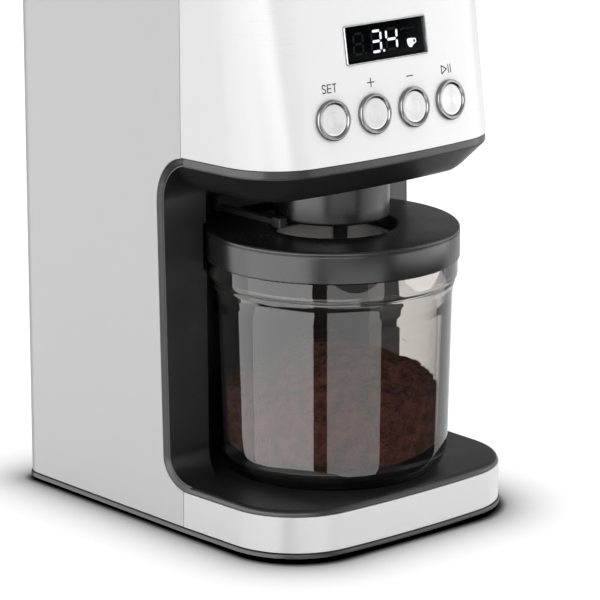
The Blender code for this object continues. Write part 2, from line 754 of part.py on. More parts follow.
def burr_set():
    """The conical pair: a fluted cone on the shaft inside a fluted ring in its carrier."""
    axis = BURR_AXIS
    cone_levels = [(204, 19.4, 1.2), (210, 18.4, 1.6), (218, 14.6, 2.6), (227, 10.2, 3.0)]
    rings = [star_ring(r, d, 12, 0.028 * (z - 204), z, axis) for z, r, d in cone_levels]
    cone = loft("inner_burr", rings, "steel", (*axis, 0))
    bore = [(0, 200), (SHAFT_R + GAP, 200), (SHAFT_R + GAP, 230), (0, 230)]
    cut(cone, turned("cone_bore", bore, "steel", axis, 24))
    ring = turned("outer_burr", tube_profile(15.5, 26.0, 206, 226), "steel", axis, 30)
    ring_levels = [(205, 22.2, 1.0), (214, 20.4, 1.4), (227, 17.0, 2.2)]
    rings = [star_ring(r, -d, 12, -0.02 * (z - 205), z, axis) for z, r, d in ring_levels]
    cut(ring, loft("ring_teeth", rings, "steel", (*axis, 0)))
    carrier = [
        (26.3, 205.6),
        (29.4, 205.6),
        (29.4, 233.5),
        (24.0, 233.5),
        (24.0, 226.3),
        (26.3, 226.3),
    ]
    turned("outer_burr_carrier", carrier, "brass", axis, 30)
    housing_low, housing_high = HOUSING_Z
    housing = [
        (11.0, housing_low),
        (33.0, housing_low),
        (33.0, housing_high - 4),
        (36.5, housing_high - 4),
        (36.5, housing_high),
        (30.0, housing_high),
        (30.0, housing_low + 6.3),
        (11.0, housing_low + 6.3),
    ]
    cup = turned("burr_housing", housing, "grey_plastic", axis, 30)
    outlet = block("housing_outlet", (-9, 10, 190.2), (9, 28, 204.6), "grey_plastic")
    cut(cup, outlet)
    threaded = [
        (31.0, housing_high + GAP),
        (37.5, housing_high + GAP),
        (37.5, 256),
        (41.0, 256),
        (41.0, 261),
        (31.0, 261),
    ]
    turned("adjust_ring", threaded, "grey_plastic", axis, 30)


def impeller():
    """A disc with four sweeping paddles under the burrs."""
    axis = BURR_AXIS
    bore = SHAFT_R + GAP
    profile = [(bore, 190), (22, 190), (22, 192.5), (9, 192.5), (9, 203), (bore, 203)]
    disc = turned("impeller", profile, "nylon", axis, 24)
    for k in range(4):
        turn = Matrix.Rotation(math.tau * k / 4 + 0.3, 3, "Z")
        corners = [turn @ Vector(p) for p in ((8, -1, 0), (28, -1, 0), (28, 1, 0), (8, 1, 0))]
        outline = [(p.x + axis[0], p.y + axis[1]) for p in corners]
        add(disc, prism(f"paddle_{k + 1}", outline, 191.5, 201, "nylon"))
    return disc


def burr_shaft():
    axis = BURR_AXIS
    shaft = [(0, 172.6), (SHAFT_R, 172.6), (SHAFT_R, 233), (SHAFT_R - 0.8, 233.8), (0, 233.8)]
    turned("burr_shaft", shaft, "steel", axis, 24)
    turned("burr_bearing", tube_profile(SHAFT_R + 0.3, 10.7, 183.2, 189.2), "steel", axis, 32)
    hexagon = arc(*axis, 6.6, 0, math.tau, 6)[:-1]
    nut = prism("burr_nut", hexagon, 227.4, 232, "steel", (*axis, 0))
    cut(nut, turned("nut_bore", rod_profile(SHAFT_R + GAP, 220, 240), "steel", axis, 24))


def mesh_phase(teeth, axis, partner_axis, tooth):
    """The phase that turns a tooth (tooth=True) or a gap towards the partner's axis."""
    towards = math.atan2(partner_axis[1] - axis[1], partner_axis[0] - axis[0])
    share = towards / (math.tau / teeth)
    return share if tooth else share + 0.5


def gear_train():
    """Motor pinion, two-step idler on its pin, and the output gear on the burr shaft."""
    low, high = LOW_GEAR_Z, HIGH_GEAR_Z
    phase = mesh_phase(PINION_TEETH, MOTOR_AXIS, IDLER_AXIS, True)
    pinion = prism(
        "motor_pinion", gear_outline(PINION_TEETH, phase, MOTOR_AXIS), *low, "brass", (*MOTOR_AXIS, 0)
    )
    bore = rod_profile(2.5 + GAP, 160, 180)
    cut(pinion, turned("pinion_bore", bore, "brass", MOTOR_AXIS, 20))
    phase = mesh_phase(WHEEL_TEETH, IDLER_AXIS, MOTOR_AXIS, False)
    idler = prism(
        "idler_gear", gear_outline(WHEEL_TEETH, phase, IDLER_AXIS), *low, "nylon", (*IDLER_AXIS, 0)
    )
    phase = mesh_phase(SMALL_TEETH, IDLER_AXIS, BURR_AXIS, True)
    small = prism(
        "idler_small",
        gear_outline(SMALL_TEETH, phase, IDLER_AXIS),
        low[1] - 1,
        high[1],
        "nylon",
        (*IDLER_AXIS, 0),
    )
    add(idler, small)
    bore = rod_profile(2.5 + GAP, 160, 190)
    cut(idler, turned("idler_bore", bore, "nylon", IDLER_AXIS, 20))
    phase = mesh_phase(OUTPUT_TEETH, BURR_AXIS, IDLER_AXIS, False)
    output = prism(
        "output_gear", gear_outline(OUTPUT_TEETH, phase, BURR_AXIS), *high, "steel", (*BURR_AXIS, 0)
    )
    bore = rod_profile(SHAFT_R + GAP, 160, 190)
    cut(output, turned("output_bore", bore, "steel", BURR_AXIS, 24))
    pin = [(0, 161.9), (2.5, 161.9), (2.5, 182.3), (0, 182.3)]
    turned("idler_axle", pin, "steel", IDLER_AXIS, 20)


def gearbox_plate():
    """The plate that carries the motor, the idler's pin and, on three posts, the burr housing."""
    low, high = PLATE_Z
    outline = [(x, y + 68) for x, y in rounded_rectangle(44, 46, 8)]
    plate = prism("gearbox_plate", outline, low, high, "aluminium")
    posts = [(27, 34), (-27, 46), (-13, 78)]
    for number, at in enumerate(posts, 1):
        post = turned(f"post_{number}", rod_profile(3, high - 1, 182.7), "steel", at, 16)
        add(plate, post)
    holes = [(*MOTOR_AXIS, 5.0), (*IDLER_AXIS, 2.8)]
    for number, (x, y, radius) in enumerate(holes, 1):
        bore = rod_profile(radius, 150, 170)
        cut(plate, turned(f"plate_hole_{number}", bore, "steel", (x, y), 20))
    return plate


def motor():
    """The motor can under the plate, its shaft and its two end steps."""
    can = [
        (0, 70),
        (10, 70),
        (10, 73),
        (23, 73),
        (25, 75),
        (25, 147),
        (23, 149),
        (11, 149),
        (11, 161.2),
        (2.9, 161.2),
        (2.9, 120),
        (0, 120),
    ]
    turned("motor_can", can, "steel", MOTOR_AXIS, 24)
    shaft = [(0, 120.4), (2.5, 120.4), (2.5, 174.5), (0, 174.5)]
    turned("motor_shaft", shaft, "steel", MOTOR_AXIS, 20)


def power_board():
    """The mains board at the foot of the column, with its larger parts."""
    board = block("power_board", (-45, 112, 24), (45, 113.6, 64), "board_green")
    parts = [
        ("board_transformer", (-38, 98, 30), (-14, 112.8, 52)),
        ("board_relay", (0, 100, 32), (14, 112.8, 50)),
        ("board_capacitor", (22, 101, 30), (34, 112.8, 56)),
    ]
    for name, low, high in parts:
        add(board, block(name, low, high, "board_green"))
    return board


# ---------------------------------------------------------------- hopper


def hopper():
    """The smoky bean hopper and its lid."""
    wall = 2.2
    outside = [(THROAT_R, 262), (THROAT_R, 286.4), (47, 286.4), (50, 288)]
    outside += arc(44, 305, 15.5, -0.9, 0, 3)[1:] + [(HOPPER_RIM_R, HOPPER_RIM_Z)]
    inside = [(HOPPER_RIM_R - wall, HOPPER_RIM_Z), (57.2, 305)]
    inside += arc(44, 305, 13.2, -0.15, -0.9, 2) + [(46, 291.5), (THROAT_R - wall, 284)]
    inside += [(THROAT_R - wall, 262)]
    turned("hopper", outside + inside, "smoke", BURR_AXIS, 20)
    top = HOPPER_RIM_Z
    lid = [
        (0, top + 0.4),
        (54, top + 0.4),
        (54, top - 5),
        (56.6, top - 5),
        (57.2, top + GAP),
        (61.2, top + GAP),
        (61.2, top + 4.5),
        (59.5, top + 6.5),
        (40, top + 8),
        (36, top + 5.5),
        (16, top + 4.5),
        (13.5, top + 6),
        (12.5, top + 12.5),
        (10, top + 14),
        (0, top + 14.5),
    ]
    turned("hopper_lid", lid, "lid_black", BURR_AXIS, 20)


def build():
    side_shell()
    cord_gland()
    head_front_cover()
    c_frame()
    base_band()
    base_plate()
    feet_and_screws()
    top_deck()
    buttons()
    display()
    control_board()
    chute()
    cradle_fork()
    jar_switch()
    jar()
    burr_set()
    impeller()
    burr_shaft()
    gear_train()
    gearbox_plate()
    motor()
    power_board()
    hopper()


for old in list(bpy.data.objects):
    bpy.data.objects.remove(old)
build()
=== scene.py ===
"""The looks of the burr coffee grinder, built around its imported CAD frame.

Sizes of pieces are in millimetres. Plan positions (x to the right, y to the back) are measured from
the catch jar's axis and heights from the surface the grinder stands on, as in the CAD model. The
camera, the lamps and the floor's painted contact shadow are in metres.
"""

import json
import math

import bmesh
import bpy
from mathutils import Matrix, Vector, noise

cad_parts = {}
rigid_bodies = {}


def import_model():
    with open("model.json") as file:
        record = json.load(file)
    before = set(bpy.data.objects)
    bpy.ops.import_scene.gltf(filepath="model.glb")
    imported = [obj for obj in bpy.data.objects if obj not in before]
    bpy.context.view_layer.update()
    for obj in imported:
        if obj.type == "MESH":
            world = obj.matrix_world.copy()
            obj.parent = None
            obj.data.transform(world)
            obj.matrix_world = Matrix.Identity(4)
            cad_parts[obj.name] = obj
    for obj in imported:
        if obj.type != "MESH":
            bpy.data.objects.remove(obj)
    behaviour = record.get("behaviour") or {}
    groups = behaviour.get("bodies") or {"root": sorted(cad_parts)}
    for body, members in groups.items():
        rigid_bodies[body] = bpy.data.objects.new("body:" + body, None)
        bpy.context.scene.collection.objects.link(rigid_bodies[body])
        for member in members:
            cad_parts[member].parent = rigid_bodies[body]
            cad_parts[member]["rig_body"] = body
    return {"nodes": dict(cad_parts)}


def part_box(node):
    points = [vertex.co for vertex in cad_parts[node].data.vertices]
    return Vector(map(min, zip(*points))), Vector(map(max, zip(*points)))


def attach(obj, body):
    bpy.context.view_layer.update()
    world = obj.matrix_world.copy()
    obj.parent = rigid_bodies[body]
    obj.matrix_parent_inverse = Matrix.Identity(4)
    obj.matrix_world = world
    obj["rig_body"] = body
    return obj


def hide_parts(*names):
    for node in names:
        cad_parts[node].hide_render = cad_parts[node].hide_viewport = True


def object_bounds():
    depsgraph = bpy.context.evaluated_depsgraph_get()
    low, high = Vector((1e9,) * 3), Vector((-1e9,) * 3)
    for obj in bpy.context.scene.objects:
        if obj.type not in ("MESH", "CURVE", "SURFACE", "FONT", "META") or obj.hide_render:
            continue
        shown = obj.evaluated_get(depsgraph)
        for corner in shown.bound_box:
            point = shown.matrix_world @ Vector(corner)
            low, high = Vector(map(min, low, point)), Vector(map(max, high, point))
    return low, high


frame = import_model()
CAD_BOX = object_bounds()
MM = 0.001


def box_mm(cad_node):
    """A CAD node's lowest and highest corner, in millimetres from the frame's origin."""
    low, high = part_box(cad_node)
    return low / MM, high / MM


LID_LOW, LID_HIGH = box_mm("jar_lid")
JAR_Y = (LID_LOW.y + LID_HIGH.y) / 2
HOME = Matrix.Translation((0, JAR_Y * MM, 0))

# overall body, from the frame
HALF = box_mm("side_shell")[1].x
BODY_REAR = box_mm("side_shell")[1].y - JAR_Y
BAND_BOTTOM = box_mm("base_band")[0].z
BAND_TOP = box_mm("base_band")[1].z
HEAD_BOTTOM = box_mm("c_frame")[1].z
DECK_BOTTOM = box_mm("top_deck")[0].z
LID_R = (LID_HIGH.x - LID_LOW.x) / 2
LID_TOP = LID_HIGH.z
JAR_BOTTOM = box_mm("jar_body")[0].z

# casings: corner radii, the seam between front and sides, sheet thicknesses and heights
REAR_CORNER = 12.0
SEAM = 14.1
SHELL = 1.5
COVER = 2.2
BAND = 1.2
WALL = 2.5
GAP = 0.3
LIP = 0.5
LIP_TOP = 4.2
TRAY_TOP = 22.3
CEILING = 146.1
RIM_TOP = 157.7
# how far a cutting tool reaches past the surface that it cuts
PAST = 5.0
# fronts in plan: foremost point, how far the nose bows out, corner radius, angle of the side's end
BASE_FRONT = {"nose": -51.9, "bow": 4.8, "corner": 33.2, "toe": 0.03}
HEAD_FRONT = {"nose": -40.2, "bow": 6.2, "corner": 28.0, "toe": 0.08}
# how far the head's front leans back for each millimetre of height
LEAN = 0.167

# the C-shaped frame: its upright edge, the sweeps (y, z) at both ends, its width, the jar's bay
UPRIGHT_Y = 26.0
UPRIGHT_LEAN = 0.025
LOW_SWEEP = (16.0, 13.2)
HIGH_SWEEP = (17.5, 20.5)
FRAME_HALF = 68.2
FRAME_BACK = 62.0
BAY_R = 53.2
RELIEF_R = 54.7
RELIEF_Z = (108.9, 128.5)
PLUNGER_AT = (22.0, 118.0)

# underside and back
SCREWS = [(-30, -34), (30, -34), (-30, 112), (30, 112)]
FEET = [(-50, -28), (50, -28), (-50, 106), (50, 106)]
GLAND_AT = (45.0, 20.0)
INLET_R = 8.0

# the face: the buttons and labels, then the display; WINDOW_Z is measured out from the face
BUTTON_Z = 179.5
BUTTON_PITCH = 21.57
RING_R = 8.3
RING_TOP = 1.3
CAP_R = 6.45
LABEL_RISE = 12.6
STROKE = 0.44
DISPLAY_Z = 207.8
DISPLAY_HALF = (22.4, 8.0)
WINDOW_Z = -1.42
DIGIT_HIGH = 8.3

# chute and jar
NECK_R = 23.9
NECK_BOTTOM = 129.9
LID_HOLE_R = 26.9
COLLAR_R = (25.2, 26.6)
COFFEE_R = 45.0
COFFEE_WALL_Z = 58.0
COFFEE_RISE = 17.5

# hopper
BURR_Y = 50.0
THROAT_R = 29.7
BOWL_WALL = 2.2
DECK_TOP = 285.0
RIM_Z = 345.0
RIM_R = 60.0

# camera angles: how far it is turned from straight ahead, and how far it looks down
VIEW_TURN = 0.724
VIEW_DOWN = 0.255


# ---- mesh helpers


def piece(name, points, faces, place=HOME, sharp=35):
    """An object from points in millimetres in its own frame, smooth apart from its sharp edges."""
    mesh = bpy.data.meshes.new(name)
    mesh.from_pydata([Vector(p) * MM for p in points], [], faces)
    work = bmesh.new()
    work.from_mesh(mesh)
    bmesh.ops.recalc_face_normals(work, faces=work.faces)
    work.to_mesh(mesh)
    work.free()
    mesh.shade_smooth()
    mesh.set_sharp_from_angle(angle=math.radians(sharp))
    thing = bpy.data.objects.new(name, mesh)
    thing.matrix_world = place
    bpy.context.scene.collection.objects.link(thing)
    return thing


def between(low, high, count):
    """Four-sided faces between two closed rings of points that start at low and at high."""
    return [(low + i, low + (i + 1) % count, high + (i + 1) % count, high + i) for i in range(count)]


def loft(name, rings, place=HOME):
    """A skin over rings of equal point counts, with a flat cap at each end."""
    count = len(rings[0])
    points = [p for ring in rings for p in ring]
    faces = [tuple(range(count)), tuple(range(len(points) - count, len(points)))]
    for low in range(0, len(points) - count, count):
        faces += between(low, low + count, count)
    return piece(name, points, faces, place)


def prism(name, outline, z0, z1, place=HOME):
    """An (x, y) outline raised from z0 to z1."""
    return loft(name, [[(x, y, z) for x, y in outline] for z in (z0, z1)], place)


def side_prism(name, profile, x0, x1):
    """A (y, z) profile run across from x0 to x1."""
    return loft(name, [[(x, y, z) for y, z in profile] for x in (x0, x1)])


def side_cylinder(name, at, radius, y0, y1):
    """A round bar from front to back through at = (x, z)."""
    outline = arc(*at, radius, 0, math.tau, 48)[:-1]
    return loft(name, [[(x, y, z) for x, z in outline] for y in (y0, y1)])


def block(name, low, high, place=HOME):
    """A box between two opposite corners."""
    outline = [(low[0], low[1]), (high[0], low[1]), (high[0], high[1]), (low[0], high[1])]
    return prism(name, outline, low[2], high[2], place)


def turned(name, profile, place=HOME, segments=128):
    """A (radius, height) profile turned about the local z axis.

    A profile that starts and ends on the axis gets a cap at each end, any other one is a loop.
    """
    core = profile[0][0] == 0
    rings = profile[1:-1] if core else profile
    points = []
    for radius, height in rings:
        for k in range(segments):
            turn = math.tau * k / segments
            points.append((radius * math.cos(turn), radius * math.sin(turn), height))
    faces = []
    for i in range(len(rings) - 1 if core else len(rings)):
        faces += between(i * segments, (i + 1) % len(rings) * segments, segments)
    if core:
        for tip, ring in ((profile[0], 0), (profile[-1], len(rings) - 1)):
            rim = range(ring * segments, (ring + 1) * segments)
            points.append((0, 0, tip[1]))
            faces += [(rim[k], rim[(k + 1) % segments], len(points) - 1) for k in range(segments)]
    return piece(name, points, faces, place)


def combine(operation, target, *tools, sharp=30):
    """Adds the tools to the target, or cuts them from it, for good."""
    for tool in tools:
        step = target.modifiers.new(tool.name, "BOOLEAN")
        step.operation = operation
        step.solver = "EXACT"
        step.object = tool
    graph = bpy.context.evaluated_depsgraph_get()
    mesh = bpy.data.meshes.new_from_object(target.evaluated_get(graph))
    target.modifiers.clear()
    target.data = mesh
    mesh.shade_smooth()
    mesh.set_sharp_from_angle(angle=math.radians(sharp))
    for tool in tools:
        bpy.data.objects.remove(tool)
    return target


def cut(target, *tools, sharp=30):
    return combine("DIFFERENCE", target, *tools, sharp=sharp)


def add(target, *tools):
    return combine("UNION", target, *tools)


def at_plan(x, y, z=0):
    """The place of that point, upright."""
    return HOME @ Matrix.Translation(Vector((x, y, z)) * MM)


def ellipse(cx, cy, rx, ry, start, end, steps):
    angles = [start + (end - start) * k / steps for k in range(steps + 1)]
    return [(cx + rx * math.cos(a), cy + ry * math.sin(a)) for a in angles]


def arc(cx, cy, radius, start, end, steps):
    return ellipse(cx, cy, radius, radius, start, end, steps)


def steps_to(count):
    """Angles from nothing to a right angle."""
    return [math.pi / 2 * k / count for k in range(count + 1)]


def circle(radius, steps=64):
    return arc(0, 0, radius, 0, math.tau, steps)[:-1]


def rounded_rectangle(half_x, half_y, radius, steps=8):
    points = []
    for quarter, (sx, sy) in enumerate(((1, 1), (-1, 1), (-1, -1), (1, -1))):
        start = quarter * math.pi / 2
        centre = (sx * (half_x - radius), sy * (half_y - radius))
        points += arc(*centre, radius, start, start + math.pi / 2, steps)
    return points


def soften(points, radius, closed=False, steps=4):
    """The profile with each corner rounded by a curve that starts one radius away from it."""
    result = []
    for i, corner in enumerate(points):
        if not closed and i in (0, len(points) - 1):
            result.append(tuple(corner))
            continue
        here = Vector(corner)
        ends = []
        for other in (points[i - 1], points[(i + 1) % len(points)]):
            side = Vector(other) - here
            ends.append(here + side.normalized() * min(radius, side.length * 0.45))
        for k in range(steps + 1):
            t = k / steps
            result.append(tuple(ends[0] * (1 - t) ** 2 + here * 2 * t * (1 - t) + ends[1] * t * t))
    return result


# ---- outlines of the body


def nose_radius(front):
    return (HALF**2 + front["bow"] ** 2) / (2 * front["bow"])


def front_outline(front, inset=0.0, start=SEAM):
    """The plan line of a front end, from the left seam round the nose to the right seam."""
    wide = nose_radius(front)
    centre = Vector((0, front["nose"] + wide))
    wide -= inset
    radius = front["corner"] - inset
    toe = front["toe"]
    ahead = Vector((math.sin(toe), -math.cos(toe)))
    inward = Vector((math.cos(toe), math.sin(toe)))
    begin = Vector((-HALF + inset, start))
    reach = begin + inward * radius - centre
    along = reach.dot(ahead)
    run = -along + math.sqrt(along**2 - reach.dot(reach) + (wide - radius) ** 2)
    corner = begin + inward * radius + ahead * run
    from_angle = math.atan2(-inward.y, -inward.x) % math.tau
    towards = corner - centre
    to_angle = math.atan2(towards.y, towards.x) % math.tau
    left = [tuple(begin)]
    left += arc(*corner, radius, from_angle, to_angle, 18)
    left += arc(*centre, wide, to_angle, 1.5 * math.pi, 10)[1:]
    return left + [(-x, y) for x, y in reversed(left[:-1])]


def rear_outline(inset=0.0):
    radius = REAR_CORNER - inset
    right = arc(HALF - inset - radius, BODY_REAR - inset - radius, radius, 0, math.pi / 2, 12)
    return right + [(-x, y) for x, y in reversed(right)]


def body_outline(front, inset=0.0):
    return front_outline(front, inset) + rear_outline(inset)


def leaned(x, y, z):
    """Moves a point of the head back with its height; the seam stays upright."""
    depth = SEAM - HEAD_FRONT["nose"]
    share = 1 - LEAN * (z - HEAD_BOTTOM) / depth
    return (x, SEAM + (y - SEAM) * share if y < SEAM else y, z)


def opening_line(inset):
    """The frame's opening as (y, z): its outer edge for inset 0, the inner edge of its rim for 1."""
    rim_y = 2.0 * inset
    rim_low = (TRAY_TOP - BAND_TOP) * inset
    rim_high = (HEAD_BOTTOM - RIM_TOP) * inset
    low_z = BAND_TOP + LOW_SWEEP[1]
    high_z = HEAD_BOTTOM - HIGH_SWEEP[1]
    low_y = UPRIGHT_Y + UPRIGHT_LEAN * low_z - LOW_SWEEP[0]
    high_y = UPRIGHT_Y + UPRIGHT_LEAN * high_z - HIGH_SWEEP[0]
    low = ellipse(low_y, low_z, LOW_SWEEP[0] - rim_y, LOW_SWEEP[1] - rim_low, -math.pi / 2, 0, 20)
    high = ellipse(high_y, high_z, HIGH_SWEEP[0] - rim_y, HIGH_SWEEP[1] - rim_high, 0, math.pi / 2, 20)
    return low + high


def face_place(x, z):
    """The place of something on the head's face: z straight out, y up the face."""
    wide = nose_radius(HEAD_FRONT)
    bow = wide - math.sqrt(wide**2 - x**2)
    at = Vector(leaned(x, HEAD_FRONT["nose"] + bow, z)) * MM
    out = Vector((math.tan(math.asin(x / wide)), -1, LEAN)).normalized()
    across = Vector((0, 0, 1)).cross(out).normalized()
    turn = Matrix((across, out.cross(across), out)).transposed().to_4x4()
    return HOME @ Matrix.Translation(at) @ turn


# ---- material helpers

# every material by its name
LOOKS = {}


def node(tree, kind, inputs=None, **settings):
    """A shader node with its settings, and values or links on its inputs."""
    made = tree.nodes.new("ShaderNode" + kind)
    for name, value in settings.items():
        setattr(made, name, value)
    for key, value in (inputs or {}).items():
        if isinstance(value, bpy.types.NodeSocket):
            tree.links.new(value, made.inputs[key])
        else:
            made.inputs[key].default_value = value
    return made


def new_look(name, sockets):
    """Puts a new material into LOOKS; gives its node tree and its Principled shader with values."""
    material = bpy.data.materials.new(name)
    LOOKS[name] = material
    material.use_nodes = True
    shader = material.node_tree.nodes["Principled BSDF"]
    for key, value in sockets.items():
        shader.inputs[key].default_value = value
    return material.node_tree, shader


def link(shader, links):
    """Links values to the shader's sockets of those names."""
    for socket, value in links.items():
        shader.id_data.links.new(value, shader.inputs[socket])


def grain(tree, size, detail=3.0, rough=0.55):
    """Noise whose cells are about size = (x, y, z) millimetres in the piece's own frame."""
    coords = node(tree, "TexCoord").outputs["Object"]
    scale = tuple(1 / (s * MM) for s in size)
    mapped = node(tree, "Mapping", {"Vector": coords, "Scale": scale}).outputs[0]
    made = node(tree, "TexNoise", {"Vector": mapped, "Scale": 1, "Detail": detail, "Roughness": rough})
    return made.outputs[0]


def spread(tree, value, low, high, start=0.3, end=0.7):
    """Maps a value from start..end to low..high, held at both ends."""
    inputs = {0: value, 1: start, 2: end, 3: low, 4: high}
    return node(tree, "MapRange", inputs).outputs[0]


def maths(tree, operation, *values):
    return node(tree, "Math", dict(enumerate(values)), operation=operation).outputs[0]


def vector_maths(tree, operation, *values):
    return node(tree, "VectorMath", dict(enumerate(values)), operation=operation).outputs


def blend(tree, share, first, second):
    return node(tree, "Mix", {0: share, 2: first, 3: second}, data_type="FLOAT").outputs[0]


def blend_colours(tree, share, first, second):
    inputs = {0: share, 6: (*first, 1), 7: (*second, 1)}
    return node(tree, "Mix", inputs, data_type="RGBA").outputs[2]


def shade(colour, factor):
    return tuple(min(1.0, c * factor) for c in colour)


def relief(tree, height, depth, edge=0.0):
    """A bump of that depth in millimetres, over edges that are rounded by edge millimetres."""
    inputs = {"Height": height, "Distance": depth * MM, "Strength": 1.0}
    if edge:
        inputs["Normal"] = node(tree, "Bevel", {"Radius": edge * MM}, samples=4).outputs[0]
    return node(tree, "Bump", inputs).outputs[0]


def moulded(name, colour, roughness, cell=0.35, depth=0.006, edge=0.35, gloss=0.5):
    """Moulded plastic or rubber: a fine even texture, faint cloudiness, softly rounded edges."""
    tree, shader = new_look(name, {"Specular IOR Level": gloss})
    fine = grain(tree, (cell,) * 3, 2)
    cloud = grain(tree, (22, 22, 22), 3)
    colours = blend_colours(tree, cloud, shade(colour, 0.86), shade(colour, 1.14))
    rough = spread(tree, cloud, roughness - 0.04, roughness + 0.05)
    bumps = relief(tree, fine, depth, edge)
    link(shader, {"Base Color": colours, "Roughness": rough, "Normal": bumps})


def metal(name, colour, metallic, roughness, lines=(14, 14, 0.09), depth=0.0012, edge=0.25, gloss=0.5):
    """Metal with a fine brushed grain along the long side of lines = (x, y, z) millimetres."""
    tree, shader = new_look(name, {"Metallic": metallic, "Specular IOR Level": gloss})
    brushed = grain(tree, lines, 4, 0.65)
    cloud = grain(tree, (45, 45, 45), 2)
    swing = 0.003 + 10 * depth
    colours = blend_colours(tree, brushed, shade(colour, 1 - swing), shade(colour, 1 + swing))
    both = maths(tree, "ADD", brushed, cloud)
    rough = spread(tree, both, roughness - 2 * swing, roughness + 2 * swing, 0.75, 1.25)
    bumps = relief(tree, brushed, depth, edge)
    link(shader, {"Base Color": colours, "Roughness": rough, "Normal": bumps})


def turned_metal(name, colour, roughness):
    """A turned metal face: fine rings about the local z axis and a highlight that fans out."""
    tree, shader = new_look(name, {"Metallic": 0.45, "Anisotropic": 0.75})
    coords = node(tree, "TexCoord").outputs["Object"]
    parts = node(tree, "SeparateXYZ", {0: coords}).outputs
    flat = node(tree, "CombineXYZ", {0: parts[0], 1: parts[1]}).outputs[0]
    radius = vector_maths(tree, "LENGTH", flat)["Value"]
    along = node(tree, "CombineXYZ", {0: radius}).outputs[0]
    ring_width = 0.12 * MM
    scaled = node(tree, "Mapping", {"Vector": along, "Scale": (1 / ring_width, 1, 1)}).outputs[0]
    rings = node(tree, "TexNoise", {"Vector": scaled, "Scale": 1, "Detail": 3}).outputs[0]
    colours = blend_colours(tree, rings, shade(colour, 0.9), shade(colour, 1.08))
    rough = spread(tree, rings, roughness - 0.05, roughness + 0.06)
    bumps = relief(tree, rings, 0.003)
    tangent = node(tree, "Tangent", direction_type="RADIAL", axis="Z").outputs[0]
    link(shader, {"Base Color": colours, "Roughness": rough, "Normal": bumps, "Tangent": tangent})


def clear(name, colour, roughness, shadow):
    """Smoky clear plastic with a faint smear, whose shadow has the shadow colour."""
    sockets = {"Base Color": (*colour, 1), "Transmission Weight": 1.0, "IOR": 1.6}
    tree, shader = new_look(name, sockets)
    smear = grain(tree, (9, 9, 14), 4, 0.6)
    link(shader, {"Roughness": spread(tree, smear, roughness, roughness + 0.03)})
    smoke = {"Color": (0.28, 0.22, 0.18, 1), "Density": 33.0}
    body = node(tree, "VolumeAbsorption", smoke).outputs[0]
    lamp = node(tree, "BsdfTransparent", {0: (*shadow, 1)}).outputs[0]
    ray = node(tree, "LightPath").outputs["Is Shadow Ray"]
    mixed = node(tree, "MixShader", {0: ray, 1: shader.outputs[0], 2: lamp}).outputs[0]
    link(tree.nodes["Material Output"], {"Surface": mixed, "Volume": body})


def ground_coffee():
    """Dark brown grounds with lighter and blacker grains."""
    tree, shader = new_look("coffee", {"Specular IOR Level": 0.0})
    grains = grain(tree, (0.7, 0.7, 0.7), 3, 0.7)
    clumps = grain(tree, (5, 5, 5), 4, 0.6)
    both = maths(tree, "ADD", grains, clumps)
    share = spread(tree, both, 0, 1, 0.8, 1.22)
    black_grain, brown_grain = (0.027, 0.010, 0.007), (0.155, 0.060, 0.042)
    colours = blend_colours(tree, share, black_grain, brown_grain)
    rough = spread(tree, clumps, 0.7, 0.95)
    link(shader, {"Base Color": colours, "Roughness": rough, "Normal": relief(tree, grains, 0.5)})


def lit(name, colour, strength):
    """A display segment that glows."""
    sockets = {
        "Base Color": (0.002, 0.002, 0.002, 1),
        "Roughness": 0.6,
        "Specular IOR Level": 0.05,
        "Emission Color": (*colour, 1),
        "Emission Strength": strength,
    }
    tree, shader = new_look(name, sockets)
    link(shader, {"Normal": relief(tree, grain(tree, (0.3,) * 3), 0.001)})


